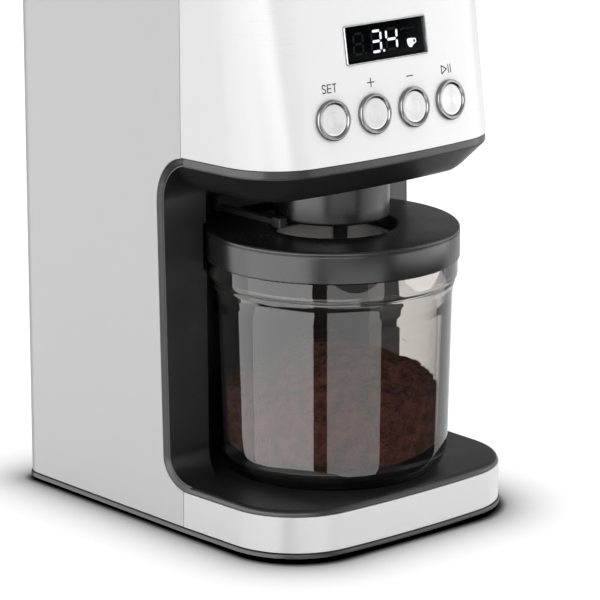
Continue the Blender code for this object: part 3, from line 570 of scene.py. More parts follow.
def looks():
    """Every material. A colour comes first, then metallic for metals, roughness and relief."""
    metal("satin_silver", (0.515, 0.515, 0.518), 0.06, 0.36, depth=0.0003, gloss=0.35)
    metal("white_steel", (0.665, 0.665, 0.667), 0.06, 0.28, depth=0.00003, gloss=0.6)
    metal("bright_steel", (0.585, 0.585, 0.588), 0.06, 0.3, depth=0.00003, gloss=0.55)
    moulded("charcoal", (0.011, 0.011, 0.0118), 0.34, gloss=0.6)
    moulded("lid_black", (0.008, 0.008, 0.0086), 0.27, 0.3, 0.0012, gloss=0.6)
    moulded("matt_black", (0.006, 0.006, 0.0064), 0.7, 0.3, 0.002, gloss=0.2)
    moulded("fork_grey", (0.035, 0.035, 0.036), 0.4, 0.3, 0.004)
    clear("jar_smoke", (0.78, 0.76, 0.74), 0.0, (0.72, 0.70, 0.68))
    clear("hopper_smoke", (0.62, 0.60, 0.58), 0.01, (0.55, 0.53, 0.52))
    moulded("collar_grey", (0.2, 0.2, 0.203), 0.4, 0.3, 0.004)
    moulded("seal_clear", (0.6, 0.6, 0.6), 0.5, 0.5, 0.003)
    ground_coffee()
    moulded("rubber", (0.022, 0.022, 0.022), 0.75, 0.25, 0.02)
    metal("chrome", (0.30, 0.30, 0.306), 1.0, 0.22, (3, 3, 3), 0.0006, 0.0)
    metal("bezel_chrome", (0.78, 0.78, 0.785), 1.0, 0.25, (3, 3, 3), 0.0006, 0.0)
    turned_metal("cap_metal", (0.66, 0.66, 0.664), 0.3)
    moulded("display_black", (0.0005, 0.0007, 0.0012), 0.2, gloss=0.02)
    moulded("board_green", (0.02, 0.12, 0.05), 0.42, 0.8, 0.01)
    metal("steel", (0.52, 0.52, 0.54), 1.0, 0.34, (0.12, 6, 6), 0.002)
    metal("brass", (0.66, 0.46, 0.19), 1.0, 0.33, (0.12, 6, 6), 0.002)
    moulded("nylon", (0.72, 0.70, 0.64), 0.46, 0.5)
    moulded("grey_plastic", (0.13, 0.13, 0.14), 0.45, 0.4)
    metal("aluminium", (0.66, 0.67, 0.69), 1.0, 0.42, (1.2, 1.2, 1.2), 0.01)
    moulded("print_grey", (0.03, 0.03, 0.032), 0.6, 0.2, 0.001, 0.0, gloss=0.2)
    lit("segment_lit", (0.80, 0.85, 1.0), 1.3)
    lit("segment_off", (0.35, 0.55, 0.7), 0.012)


def trim(thing, body, look):
    """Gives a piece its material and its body."""
    thing.data.materials.clear()
    thing.data.materials.append(LOOKS[look])
    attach(thing, body)


def stand_in(thing, cad_node, look):
    """Dresses a piece that takes the place of that CAD node, on the node's own body."""
    trim(thing, frame["nodes"][cad_node]["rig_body"], look)
    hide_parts(cad_node)


# ---- casings


def side_shell():
    """Both sides and the back as one folded sheet, open at the front for the frame."""
    start = SEAM + GAP / 2
    outer = [(HALF, start)] + rear_outline() + [(-HALF, start)]
    inner = [(HALF - SHELL, start)] + rear_outline(SHELL) + [(-HALF + SHELL, start)]
    shell = prism("body_shell", outer + inner[::-1], BAND_BOTTOM, DECK_BOTTOM - GAP)
    edge = [(y + GAP, z) for y, z in opening_line(0)]
    profile = [(0, BAND_TOP)] + edge + [(0, HEAD_BOTTOM)]
    opening = side_prism("opening", profile, -HALF - PAST, HALF + PAST)
    inlet = side_cylinder("inlet", GLAND_AT, INLET_R, BODY_REAR - PAST, BODY_REAR + PAST)
    stand_in(cut(shell, opening, inlet), "side_shell", "satin_silver")


def head_cover():
    """The head's leaning front, with the bores for the button rings and the display."""
    front = front_outline(HEAD_FRONT, 0, SEAM - GAP / 2)
    back = front_outline(HEAD_FRONT, COVER, SEAM - GAP / 2)
    outline = front + back[::-1]
    low, high = HEAD_BOTTOM + GAP, DECK_BOTTOM - GAP
    levels = 12
    rings = []
    for k in range(levels + 1):
        z = low + (high - low) * k / levels
        rings.append([leaned(x, y, z) for x, y in outline])
    cover = loft("face_cover", rings)
    window = rounded_rectangle(*(half - 0.25 for half in DISPLAY_HALF), 0.8)
    bores = [(circle(RING_R - 0.5), x, BUTTON_Z) for x in button_places()] + [(window, 0, DISPLAY_Z)]
    tools = [prism("bore", line, -COVER - PAST, PAST, face_place(x, z)) for line, x, z in bores]
    stand_in(cut(cover, *tools), "head_front_cover", "white_steel")


def bay(name, wall):
    """The round space that the jar stands in, or with a wall the outside of the wall round it."""
    low, high = RELIEF_Z
    bottom = BAND_TOP - 2 if wall else TRAY_TOP + 0.15
    top = CEILING + 6 if wall else CEILING + 0.15
    near, far = BAY_R + wall, RELIEF_R + wall
    profile = [(0, bottom), (near, bottom), (near, low - wall), (far, low - wall)]
    profile += [(far, high + wall), (near, high + wall), (near, top), (0, top)]
    return turned(name, profile, segments=144)


def skirt_levels():
    """The head's underside as (height, inset): a rim, a thin groove and a softened slope."""
    rim = [(HEAD_BOTTOM, 0.3), (RIM_TOP + 0.6, 0.3), (RIM_TOP + 0.55, 0.75), (RIM_TOP + 0.2, 0.75)]
    slope = [(RIM_TOP + 0.1, 0.5), (CEILING + 1.8, 10.4), (CEILING, 13.0)]
    return rim + soften(slope, 2.6, steps=6)


def tray_levels():
    """The tray's upper edge as (height, inset): upright, then a rounded shoulder."""
    top = [(TRAY_TOP - 1.9 + 1.9 * math.sin(t), 0.5 + 2.5 * (1 - math.cos(t))) for t in steps_to(8)]
    return [(BAND_TOP + GAP, 0.3), (TRAY_TOP - 1.95, 0.42)] + top


def frame_rim(name, sign):
    """The rim on one side: a rounded bevel from the body's side face to the frame's front."""
    bevel = soften([(0.0, 0.0), (0.3, 0.05), (1.7, 0.85), (2.6, 1.0), (5.0, 1.0)], 0.45, steps=6)
    corners = bevel + [(5.0, 0.0)]
    lines = {share: opening_line(share) for share in {c[1] for c in corners}}
    rings = []
    for k in range(len(lines[0.0])):
        rings.append([(sign * (HALF - x), *lines[share][k]) for x, share in corners])
    return loft(name, rings)


def c_frame():
    """Tray, column and the floor of the head in one moulding, hollow behind the bay."""
    inner = opening_line(1)
    profile = inner + [(FRAME_BACK, HEAD_BOTTOM), (FRAME_BACK, BAND_TOP), (inner[0][0], BAND_TOP)]
    column = side_prism("frame_moulding", profile, -FRAME_HALF, FRAME_HALF)
    back = inner[0][0] + 0.6
    rings = [[(x, y, z) for x, y in front_outline(BASE_FRONT, d, back)] for z, d in tray_levels()]
    tray = loft("tray", rings)
    skirt = skirt_levels()
    front = inner[-1][0] + 0.6
    rings = [[(x, y, z) for x, y in front_outline(HEAD_FRONT, d, front)] for z, d in skirt]
    nose = loft("nose", rings)
    half = [(min(HALF - d, FRAME_HALF), z) for z, d in skirt]
    ends = half + [(-x, z) for x, z in reversed(half)]
    roof = loft("roof", [[(x, y, z) for x, z in ends] for y in (inner[-1][0], FRAME_BACK)])
    add(column, tray)
    add(column, nose, roof)
    add(column, frame_rim("rim", -1), frame_rim("rim", 1))
    side = FRAME_HALF - WALL
    behind = FRAME_BACK + 8
    hollow = block("hollow", (-side, 30.2, BAND_TOP - 1), (side, behind, CEILING + PAST))
    cut(hollow, bay("bay_wall", WALL))
    levels = [(CEILING + WALL, 12.2), (RIM_TOP, 5.0), (HEAD_BOTTOM + 1, 4.4)]
    rings = []
    for z, inset in levels:
        line = front_outline(HEAD_FRONT, inset) + [(HALF - inset, behind), (-HALF + inset, behind)]
        rings.append([(x, y, z) for x, y in line])
    head = loft("head_hollow", rings)
    neck = prism("neck_hole", circle(NECK_R + 0.5, 96), CEILING - PAST, CEILING + 8)
    bore = side_cylinder("switch_bore", PLUNGER_AT, 2.6, FRAME_BACK - 18, FRAME_BACK + 2)
    cut(column, bay("bay_space", 0.0), head, hollow, neck, bore, sharp=11.5)
    stand_in(column, "c_frame", "charcoal")


def base():
    """The band round the front, the dark plate under everything, its feet and its screws."""
    start = SEAM - GAP / 2
    line = front_outline(BASE_FRONT, 0, start) + front_outline(BASE_FRONT, BAND, start)[::-1]
    stand_in(prism("front_band", line, BAND_BOTTOM, BAND_TOP), "base_band", "bright_steel")
    levels = [(0.8, 2.6), (1.6, 1.7), (1.9, 0.2)]
    levels += [(2.0, -LIP + 0.2), (2.25, -LIP), (LIP_TOP - 0.7, -LIP), (LIP_TOP - 0.35, -LIP + 0.12)]
    levels += [(LIP_TOP, 0.1), (LIP_TOP, 3.2), (7.2, 3.2)]
    rings = [[(x, y, z) for x, y in body_outline(BASE_FRONT, d)] for z, d in levels]
    plate = loft("underside", rings)
    boss = [(0, 6), (4.5, 6), (4.5, 19), (0, 19)]
    screw_bore = [(0, 0), (3.7, 0), (3.7, 3.6), (1.8, 3.6), (1.8, 20), (0, 20)]
    pocket = [(0, 0), (8.4, 0), (8.4, 4.0), (0, 4.0)]
    bores = []
    for x, y in SCREWS:
        add(plate, turned("boss", boss, at_plan(x, y), 48))
        bores.append(turned("screw_bore", screw_bore, at_plan(x, y), 48))
    for x, y in FEET:
        bores.append(turned("pocket", pocket, at_plan(x, y), 64))
    for row in range(5):
        slot = rounded_rectangle(22, 1.5, 1.4)
        bores.append(prism("vent", slot, 0, 9, at_plan(0, 25.5 + 9 * row)))
    stand_in(cut(plate, *bores), "base_plate", "charcoal")
    pad = soften([(0, 0.5), (4.6, 0.5), (5.2, 0), (7.0, 0), (8, 0.9), (8, 3.6), (0, 3.6)], 0.4)
    for number, (x, y) in enumerate(FEET, 1):
        stand_in(turned(f"foot_pad_{number}", pad, at_plan(x, y), 64), f"foot_{number}", "rubber")
    head = [(0, 1.9), (1.5, 1.3), (3.3, 1.3), (3.3, 3.3), (1.4, 3.3), (1.4, 18), (0, 18.6)]
    long, thin, deep = 2.1, 0.35, 2.1
    for number, (x, y) in enumerate(SCREWS, 1):
        at = at_plan(x, y)
        screw = turned(f"screw_{number}", soften(head, 0.25), at, 48)
        arms = ((long, thin), (thin, long))
        slots = [block("slot", (-x_arm, -y_arm, 0), (x_arm, y_arm, deep), at) for x_arm, y_arm in arms]
        stand_in(cut(screw, *slots), f"base_screw_{number}", "steel")


def top_deck():
    """The dark top with a collar for the hopper, notched round its rim as a setting scale."""
    levels = [(DECK_BOTTOM, 0)]
    levels += [(DECK_BOTTOM + 2.4 + 1.6 * math.sin(t), 1.8 * (1 - math.cos(t))) for t in steps_to(8)]
    rings = []
    for z, inset in levels:
        outline = body_outline(HEAD_FRONT, inset)
        rings.append([leaned(x, y, DECK_BOTTOM)[:2] + (z,) for x, y in outline])
    deck = loft("deck", rings)
    at = at_plan(0, BURR_Y)
    bore, outer, low = 44, 49, DECK_TOP - 6
    collar = [(40, low), (outer, low), (outer, DECK_TOP - 1), (outer - 0.6, DECK_TOP), (40, DECK_TOP)]
    add(deck, turned("collar", soften(collar, 0.6, True), at, 128))
    throat = [(0, DECK_TOP - 15), (bore, DECK_TOP - 15), (bore, DECK_TOP + PAST), (0, DECK_TOP + PAST)]
    cut(deck, turned("throat", throat, at, 128))
    notches = []
    for k in range(24):
        turn = at @ Matrix.Rotation(math.tau * k / 24, 4, "Z")
        deep = 1.6 if k % 4 == 0 else 0.8
        inmost, outmost = (outer - deep, -0.3, DECK_TOP - 0.4), (outer + 1, 0.3, DECK_TOP + 1)
        notches.append(block("notch", inmost, outmost, turn))
    stand_in(cut(deck, *notches), "top_deck", "charcoal")


def cord_gland():
    """The rubber bush in the back that the cord would come out of."""
    x, z = GLAND_AT
    profile = [(3.6, 0), (3.6, 8.2), (7.6, 8.2), (7.6, 4.6), (10, 4.6), (10, 1.5), (7.6, 0)]
    place = at_plan(x, BODY_REAR - 8.3, z) @ Matrix.Rotation(-math.pi / 2, 4, "X")
    bush = turned("inlet_bush", soften(profile, 0.35, True), place, 64)
    stand_in(bush, "cord_gland", "rubber")


# ---- controls


def button_places():
    return [BUTTON_PITCH * (k - 1.5) for k in range(4)]


def buttons():
    """Four slightly dished caps with stems, each in a round-topped ring; z is out from the face."""
    ring_back, cap_back, stem_r, stem_end = -3.4, -2.4, 2.4, -7.7
    ring = [(CAP_R + 0.15, ring_back), (CAP_R + 0.15, RING_TOP)]
    middle = (CAP_R + 0.35 + RING_R) / 2
    ring += ellipse(middle, RING_TOP, RING_R - middle, 0.5, math.pi * 0.9, 0, 14)
    ring += [(RING_R, GAP), (RING_R - 0.8, GAP), (RING_R - 0.8, ring_back)]
    cap = [(0, RING_TOP - 0.1), (CAP_R * 0.5, RING_TOP - 0.07), (CAP_R - 0.7, RING_TOP)]
    cap += [(CAP_R - 0.15, RING_TOP - 0.1), (CAP_R, RING_TOP - 0.4), (CAP_R, cap_back)]
    cap += [(stem_r, cap_back), (stem_r, stem_end), (0, stem_end)]
    for number, x in enumerate(button_places(), 1):
        place = face_place(x, BUTTON_Z)
        stand_in(turned(f"ring_{number}", ring, place, 96), f"button_ring_{number}", "chrome")
        face = turned(f"cap_{number}", soften(cap, 0.35, steps=3), place, 96)
        stand_in(face, f"button_cap_{number}", "cap_metal")


def plate_of(name, outlines, low, high, place):
    """Flat outlines joined in one thin piece on the face."""
    points, faces = [], []
    for outline in outlines:
        count, start = len(outline), len(points)
        points += [(x, y, z) for z in (low, high) for x, y in outline]
        faces.append(tuple(range(start, start + count)))
        faces.append(tuple(range(start + count, start + 2 * count)))
        faces += between(start, start + count, count)
    return piece(name, points, faces, place)


def ribbon(line, width, closed=False):
    """Four-sided outlines that draw a line of points at that width; closed joins its two ends."""
    quads = []
    for a, b in zip(line, line[1:] + line[:1] if closed else line[1:]):
        a, b = Vector(a), Vector(b)
        along = (b - a).normalized()
        side = Vector((-along.y, along.x)) * width / 2
        a, b = a - along * width * 0.3, b + along * width * 0.3
        quads.append([tuple(a - side), tuple(b - side), tuple(b + side), tuple(a + side)])
    return quads


def digit(x, y, wide, tall, shown):
    """Outlines of the named segments of one digit, whose lower left corner is x, y."""
    bar = tall * 0.125
    end = bar * 0.32
    half = tall / 2
    slant = 0.05
    spans = {
        "a": ((end, tall), (wide - end, tall)),
        "b": ((wide, tall - end), (wide, half + end)),
        "c": ((wide, half - end), (wide, end)),
        "d": ((wide - end, 0), (end, 0)),
        "e": ((0, end), (0, half - end)),
        "f": ((0, half + end), (0, tall - end)),
        "g": ((end, half), (wide - end, half)),
    }
    outlines = []
    for name in shown:
        (x0, y0), (x1, y1) = spans[name]
        a, b = Vector((x0, y0)), Vector((x1, y1))
        along = (b - a).normalized() * bar * 0.5
        side = Vector((-along.y, along.x))
        shape = [a + along * 0.25, a + along - side, b - along - side, b - along * 0.25]
        shape += [b - along + side, a + along + side]
        outlines.append([(x + p.x + slant * p.y, y + p.y) for p in shape])
    return outlines


def display_loft(name, levels):
    """A loft across the face from (z, inset along x, inset along y, corner radius)."""
    rings = []
    for z, inset_x, inset_y, corner in levels:
        line = rounded_rectangle(DISPLAY_HALF[0] - inset_x, DISPLAY_HALF[1] - inset_y, corner)
        rings.append([(x, y, z) for x, y in line])
    return loft(name, rings, face_place(0, DISPLAY_Z))


def display():
    """The chrome bezel with a flared opening, the dark window and what it shows."""
    levels = [(z, 0.35, 0.35, 0.8) for z in (-1.4, 0.05)] + [(z, 0, 0, 1.1) for z in (0.05, 0.2)]
    bezel = display_loft("bezel", levels + [(0.3, 0.12, 0.12, 1.0)])
    flare = [(z, 0.95, 0.75, 0.6) for z in (-2.0, -1.25)] + [(z, 0.5, 0.5, 0.6) for z in (0.3, 1.0)]
    cut(bezel, display_loft("opening", flare))
    stand_in(bezel, "display_bezel", "bezel_chrome")
    levels = [(z, 0.4, 0.4, 0.4) for z in (-2.7, WINDOW_Z - 0.08)] + [(WINDOW_Z, 0.5, 0.5, 0.4)]
    stand_in(display_loft("window", levels), "display_window", "display_black")
    low_y = -DIGIT_HIGH / 2
    digits = [(-16.8, 5.0, "abcdefg", ""), (-7.0, 5.0, "ef", "abcdg"), (1.1, 5.7, "ade", "bcfg")]
    on, ghost = [], []
    for x, wide, off_bars, on_bars in digits:
        ghost += digit(x, low_y, wide, DIGIT_HIGH, off_bars)
        on += digit(x, low_y, wide, DIGIT_HIGH, on_bars)
    on.append([(-0.5 + x, low_y + y) for x, y in circle(0.55, 16)])
    ghost.append([(-10.4 + x, low_y + y) for x, y in circle(0.5, 16)])
    cup = [(12.5, -0.9), (12.6, -3.2), (13.5, -4.5), (15.1, -4.6), (15.9, -3.4), (16.0, -0.9)]
    on += [soften(cup, 0.7, True, 3)]
    on += ribbon([(15.9, -1.3), (17.1, -1.4), (17.3, -2.6), (15.7, -3.4)], 0.5)
    ghost += ribbon([(9.4, 3.1), (11.4, 3.6)], 0.8) + ribbon([(12.0, 3.3), (14.2, 3.3)], 0.5)
    ghost += ribbon([(14.8, 3.4), (17.0, 3.2)], 0.4)
    for name, outlines in (("segments_lit", on), ("segments_off", ghost)):
        shown = plate_of(name, outlines, WINDOW_Z, WINDOW_Z + 0.05, face_place(0, DISPLAY_Z))
        trim(shown, "housing", name.replace("segments", "segment"))


def labels():
    """Generic marks over the buttons: SET, plus, minus and play or pause."""
    width, tall, step = 1.75, 3.2, 2.65
    arm, rise = 1.8, 1.7
    # the letter S from its upper end to its middle, as shares of its half width and half height
    s_half = [(0.95, 0.72), (0.6, 0.94), (0, 1), (-0.6, 0.94), (-0.95, 0.7), (-0.9, 0.35), (-0.4, 0.1)]
    s_line = s_half + [(-x, -y) for x, y in reversed(s_half)]
    marks = {
        "set": [[(x * width / 2 - step, y * tall / 2) for x, y in s_line]],
        "plus": [[(-arm, 0), (arm, 0)], [(0, -arm), (0, arm)]],
        "minus": [[(-arm, 0), (arm, 0)]],
        "start": [[(x, -rise), (x, rise)] for x in (1.2, 2.5)],
    }
    left, right = -width / 2, width / 2
    marks["set"] += [[(left, -tall / 2), (left, tall / 2)]]
    marks["set"] += [[(left, y * tall / 2), (right, y * tall / 2)] for y in (-1, 0, 1)]
    marks["set"] += [[(step, -tall / 2), (step, tall / 2)]]
    marks["set"] += [[(step + left, tall / 2), (step + right, tall / 2)]]
    triangle = [(-2.9, -rise), (-2.9, rise), (0.1, 0)]
    for (name, lines), x in zip(marks.items(), button_places()):
        outlines = [quad for line in lines for quad in ribbon(line, STROKE)]
        if name == "start":
            outlines += ribbon(triangle, STROKE, True)
        mark = plate_of(f"mark_{name}", outlines, 0.02, 0.06, face_place(x, BUTTON_Z + LABEL_RISE))
        trim(mark, "housing", "print_grey")


# ---- chute and fork


def chute():
    """The round neck over the jar and the fork whose two bars hold the jar's lid."""
    flange = CEILING + WALL
    neck = [(NECK_R - 3, NECK_BOTTOM + 0.6), (NECK_R - 1.8, NECK_BOTTOM), (NECK_R, NECK_BOTTOM + 0.2)]
    neck += [(NECK_R, flange + GAP), (NECK_R + 2.8, flange + GAP)]
    neck += [(NECK_R + 2.8, flange + 2.5), (NECK_R - 3, flange + 2.5)]
    stand_in(turned("neck", soften(neck, 1.5, True, 6)), "chute_neck", "lid_black")
    bar_x, bar_half, bar_low, bar_high = 26.5, 1.4, 128.8, 131.0
    fork = block("fork", (-28, 40.8, bar_low - 0.6), (28, 43.4, bar_high + 3.6))
    parts = []
    for x in (-bar_x, bar_x):
        parts.append(block("bar", (x - bar_half, 4, bar_low), (x + bar_half, 42, bar_high)))
        pad = [(x + dx, 3.2 + dy) for dx, dy in rounded_rectangle(2.0, 2.7, 0.5)]
        parts.append(prism("pad", pad, bar_low - 0.9, bar_high + 1.0))
    stand_in(add(fork, *parts), "cradle_fork", "fork_grey")


# ---- catch jar


def jar():
    """The jar's glass with its stepped shoulder and mouth, and the grounds in it."""
    z = JAR_BOTTOM
    mouth_r, mouth_z, shoulder_z = 50.6, 121.5, 112.6
    low = ellipse(43.5, z + 12, 5.6, 12, -math.pi / 2, 0, 14)
    shoulder = [(50.4, 96.5), (51.0, 100.6), (51.7, 103.0), (51.2, 104.0), (52.4, 104.9)]
    shoulder = soften([low[-1]] + shoulder + [(52.6, 105.8), (52.6, shoulder_z)], 0.7)[1:]
    mouth = [(mouth_r, shoulder_z), (mouth_r, mouth_z), (48.2, mouth_z), (48.2, 104.0), (46.6, 92.0)]
    inside = ellipse(39.0, z + 15, 6.0, 9.5, 0, -math.pi / 2, 12)
    profile = [(0, z + 0.9), (30, z + 0.9), (33, z)] + low + shoulder
    profile += soften([shoulder[-1]] + mouth + [inside[0]], 0.5)[1:-1] + inside + [(0, z + 5.5)]
    stand_in(turned("jar_glass", profile, segments=160), "jar_body", "jar_smoke")
    floor_z = z + 5.9
    foot = [(38.6, floor_z), (42.9, z + 8.6), (44.6, z + 15.5)]
    stand_in(grounds(floor_z, foot), "coffee_grounds", "coffee")


def mound(radius, turn):
    """Height of the grounds' top: a heap in the middle, hollows and lumps towards the wall."""
    share = radius / COFFEE_R
    heap = COFFEE_WALL_Z + COFFEE_RISE * (1 - share**1.35)
    at = Vector((radius * math.cos(turn), radius * math.sin(turn), 3.0))
    lumps = noise.fractal(at / 16, 0.9, 2.1, 4) * 2.4 + noise.fractal(at / 2.6, 0.8, 2.2, 3) * 0.7
    return min(heap + lumps * (0.55 + 0.6 * share), 75.4)


def grounds(floor_z, foot):
    """The heap of grounds as one closed mesh, with loose grains stuck to the jar above it."""
    count, wall_steps, top_steps, grains = 220, 26, 55, 150
    turns = [math.tau * k / count for k in range(count)]
    rings = [[(r, z)] * count for r, z in [(0.001, floor_z), (20, floor_z)] + foot]
    wall_low = foot[-1][1]
    top_rim = [mound(COFFEE_R - 0.1, turn) for turn in turns]
    for step in range(1, wall_steps + 1):
        share = step / wall_steps
        ring = []
        for turn, rim in zip(turns, top_rim):
            z = wall_low + (rim - wall_low) * share
            at = Vector((math.cos(turn) * COFFEE_R, math.sin(turn) * COFFEE_R, z))
            dent = 0.5 + noise.fractal(at / 1.9, 0.8, 2.2, 3) * 0.5
            ring.append((COFFEE_R - 0.35 + 0.45 * share - max(0.0, dent) * 0.45, z))
        rings.append(ring)
    for step in range(1, top_steps + 1):
        radius = (COFFEE_R - 0.4) * (1 - step / (top_steps + 1)) + 0.05
        rings.append([(radius, mound(radius, turn)) for turn in turns])
    points = []
    for ring in rings:
        points += [(r * math.cos(turn), r * math.sin(turn), z) for (r, z), turn in zip(ring, turns)]
    faces = []
    for low in range(0, len(points) - count, count):
        faces += between(low, low + count, count)
    faces.append(tuple(range(count)))
    faces.append(tuple(range(len(points) - count, len(points))))
    for k in range(grains):
        add_grain(points, faces, k)
    return piece("grounds", points, faces, sharp=60)


def add_grain(points, faces, k):
    """One loose grain, an uneven octahedron on the jar's wall above the heap.

    The golden angle and other irrational steps scatter the grains evenly, the same in every run.
    """
    turn = k * 2.399963
    lift = (k * 0.618034) % 1
    rest = mound(COFFEE_R - 0.1, turn) + 0.5 + 9.0 * lift**3
    radius = COFFEE_R - 0.2 + 1.2 * max(0.0, (rest - 62) / 40)
    size = 0.22 + 0.3 * ((k * 0.754877) % 1)
    centre = Vector((radius * math.cos(turn), radius * math.sin(turn), rest))
    start = len(points)
    for axis in range(3):
        for sign in (-1, 1):
            reach = Vector((0, 0, 0))
            reach[axis] = sign * size * (0.7 + 0.5 * (((k + axis) * 0.569840) % 1))
            points.append(tuple(centre + reach))
    for x in (0, 1):
        for y in (2, 3):
            for z in (4, 5):
                faces.append((start + x, start + y, start + z))


def jar_top():
    """The jar's lid with a grooved edge, the collar and ribs inside its mouth, and its seal."""
    bottom, top = LID_LOW.z, LID_TOP
    skirt_in, under, lip_low = LID_R - 2.2, top - 2.8, top - 9.5
    groove, edge, lip = LID_R - 0.28, LID_R - 0.05, LID_HOLE_R + 1.6
    lid = [(skirt_in, bottom), (LID_R, bottom), (LID_R, top - 2.0), (groove, top - 1.85)]
    lid += [(groove, top - 1.55), (edge, top - 1.4), (edge, top - 0.75), (LID_R - 0.8, top)]
    lid += [(LID_HOLE_R + 1.2, top), (LID_HOLE_R, top - 0.5), (LID_HOLE_R, lip_low)]
    lid += [(lip, lip_low), (lip, under), (skirt_in, under)]
    stand_in(turned("lid", soften(lid, 0.3, True, 3), segments=160), "jar_lid", "lid_black")
    inner, outer = COLLAR_R
    low, high = top - 13, top - 5.6
    tube = [(inner, low), (outer, low), (outer, high), (inner, high)]
    collar = turned("collar", soften(tube, 0.25, True, 3), segments=120)
    stand_in(collar, "jar_lid_collar", "collar_grey")
    rib_turn, rib_half = 0.695, 2.9
    ribs = []
    for k in range(4):
        turn = HOME @ Matrix.Rotation(math.tau * k / 4 + rib_turn, 4, "Z")
        inmost, outmost = (inner - 1.6, -rib_half, low + 0.5), (inner - 0.15, rib_half, top - 3.2)
        ribs.append(block("rib", inmost, outmost, turn))
    add(*ribs).name = "collar_ribs"
    trim(ribs[0], "jar_top", "matt_black")
    seal_in, seal_out, seal_low, seal_high = 48.4, 50.3, 121.8, top - 3.1
    seal = [(seal_in, seal_low), (seal_out, seal_low), (seal_out, seal_high), (seal_in, seal_high)]
    stand_in(turned("seal", soften(seal, 0.3, True, 3)), "jar_seal", "seal_clear")


# ---- hopper


def hopper():
    """The bean bowl with a throat down to the burrs, and its lid with a knob in a dished top."""
    at = at_plan(0, BURR_Y)
    throat_low, step_z, bend_z = 262, 286.4, 305
    outside = [(THROAT_R, throat_low), (THROAT_R, step_z), (47, step_z), (50, step_z + 1.6)]
    outside += arc(44, bend_z, 15.5, -0.9, 0, 12)[1:] + [(RIM_R, RIM_Z)]
    inside = [(RIM_R - BOWL_WALL, RIM_Z), (57.2, bend_z)]
    inside += arc(44, bend_z, 15.5 - 2.3, -0.15, -0.9, 10)
    inside += [(46, 291.5), (THROAT_R - BOWL_WALL, 284), (THROAT_R - BOWL_WALL, throat_low)]
    bowl = turned("bean_bowl", soften(outside + inside, 0.7, True, 3), at, 144)
    stand_in(bowl, "hopper", "hopper_smoke")
    lid = [(0, 0.4), (54, 0.4), (54, -5), (56.6, -5), (57.2, GAP), (61.2, GAP), (61.2, 4.5)]
    lid += [(59.5, 6.5), (40, 8), (36, 5.5), (16, 4.5), (13.5, 6), (12.5, 12.5), (10, 14), (0, 14.5)]
    lid = [(radius, RIM_Z + rise) for radius, rise in lid]
    stand_in(turned("bowl_lid", soften(lid, 1.0, steps=4), at, 144), "hopper_lid", "lid_black")


# ---- pieces kept from the CAD model


def inner_works():
    """Gives the carried-over CAD pieces, all inside the grinder, their materials."""
    inner = {
        "grey_plastic": "display_module chute_duct jar_switch burr_housing adjust_ring"
        " switch_1 switch_2 switch_3 switch_4",
        "board_green": "control_board power_board",
        "steel": "burr_bearing idler_axle motor_can inner_burr burr_nut burr_shaft output_gear"
        " motor_shaft outer_burr",
        "aluminium": "gearbox_plate",
        "nylon": "impeller idler_gear jar_switch_plunger",
        "brass": "motor_pinion outer_burr_carrier",
    }
    for look, names in inner.items():
        for name in names.split():
            for material_slot in frame["nodes"][name].material_slots:
                material_slot.material = LOOKS[look]


# ---- stage, lamps and camera


def glow(name, azimuth, width, low, high, radiance, distance=1.2, rays="glossy"):
    """An upright panel lamp that only glossy or only diffuse rays see, in metres.

    The azimuth is in degrees from the direction to the camera, to the right if positive.
    """
    towards = math.radians(azimuth)
    view = Vector((-math.sin(VIEW_TURN), -math.cos(VIEW_TURN), 0))
    right = Vector((math.cos(VIEW_TURN), -math.sin(VIEW_TURN), 0))
    out = view * math.cos(towards) + right * math.sin(towards)
    lamp = bpy.data.lights.new(name, "AREA")
    lamp.shape = "RECTANGLE"
    lamp.size = width
    lamp.size_y = high - low
    lamp.energy = math.pi * radiance * width * (high - low)
    thing = bpy.data.objects.new(name, lamp)
    thing.location = Vector((0, JAR_Y * MM, (low + high) / 2)) + out * distance
    thing.rotation_mode = "QUATERNION"
    thing.rotation_quaternion = out.to_track_quat("Z", "Y")
    thing.visible_diffuse = rays == "diffuse"
    thing.visible_glossy = thing.visible_transmission = rays == "glossy"
    thing.visible_camera = False
    bpy.context.scene.collection.objects.link(thing)


def lamps():
    """Panels that the gloss reflects, with dark gaps between them, and one soft key light."""
    glow("panel_left", -50, 1.5, -0.9, 1.0, 3.5)
    glow("panel_side", -103, 0.92, -0.9, 1.0, 2.5)
    glow("panel_mid", 21, 1.17, -0.9, -0.2, 2.0)
    glow("panel_mid_high", 21, 1.17, -0.2, 0.1, 0.35)
    glow("panel_top", 3, 1.0, 0.1, 1.0, 3.4)
    glow("card_low", 90, 1.6, -0.21, 0.1, 3.0)
    glow("card_right", 107, 0.78, 0.12, 1.4, 1.3)
    glow("card_rear", 150, 1.4, -0.9, 0.1, 0.8, 1.3)
    glow("key_front", 65, 1.6, 0.5, 2.0, 2.3, 1.6, "diffuse")


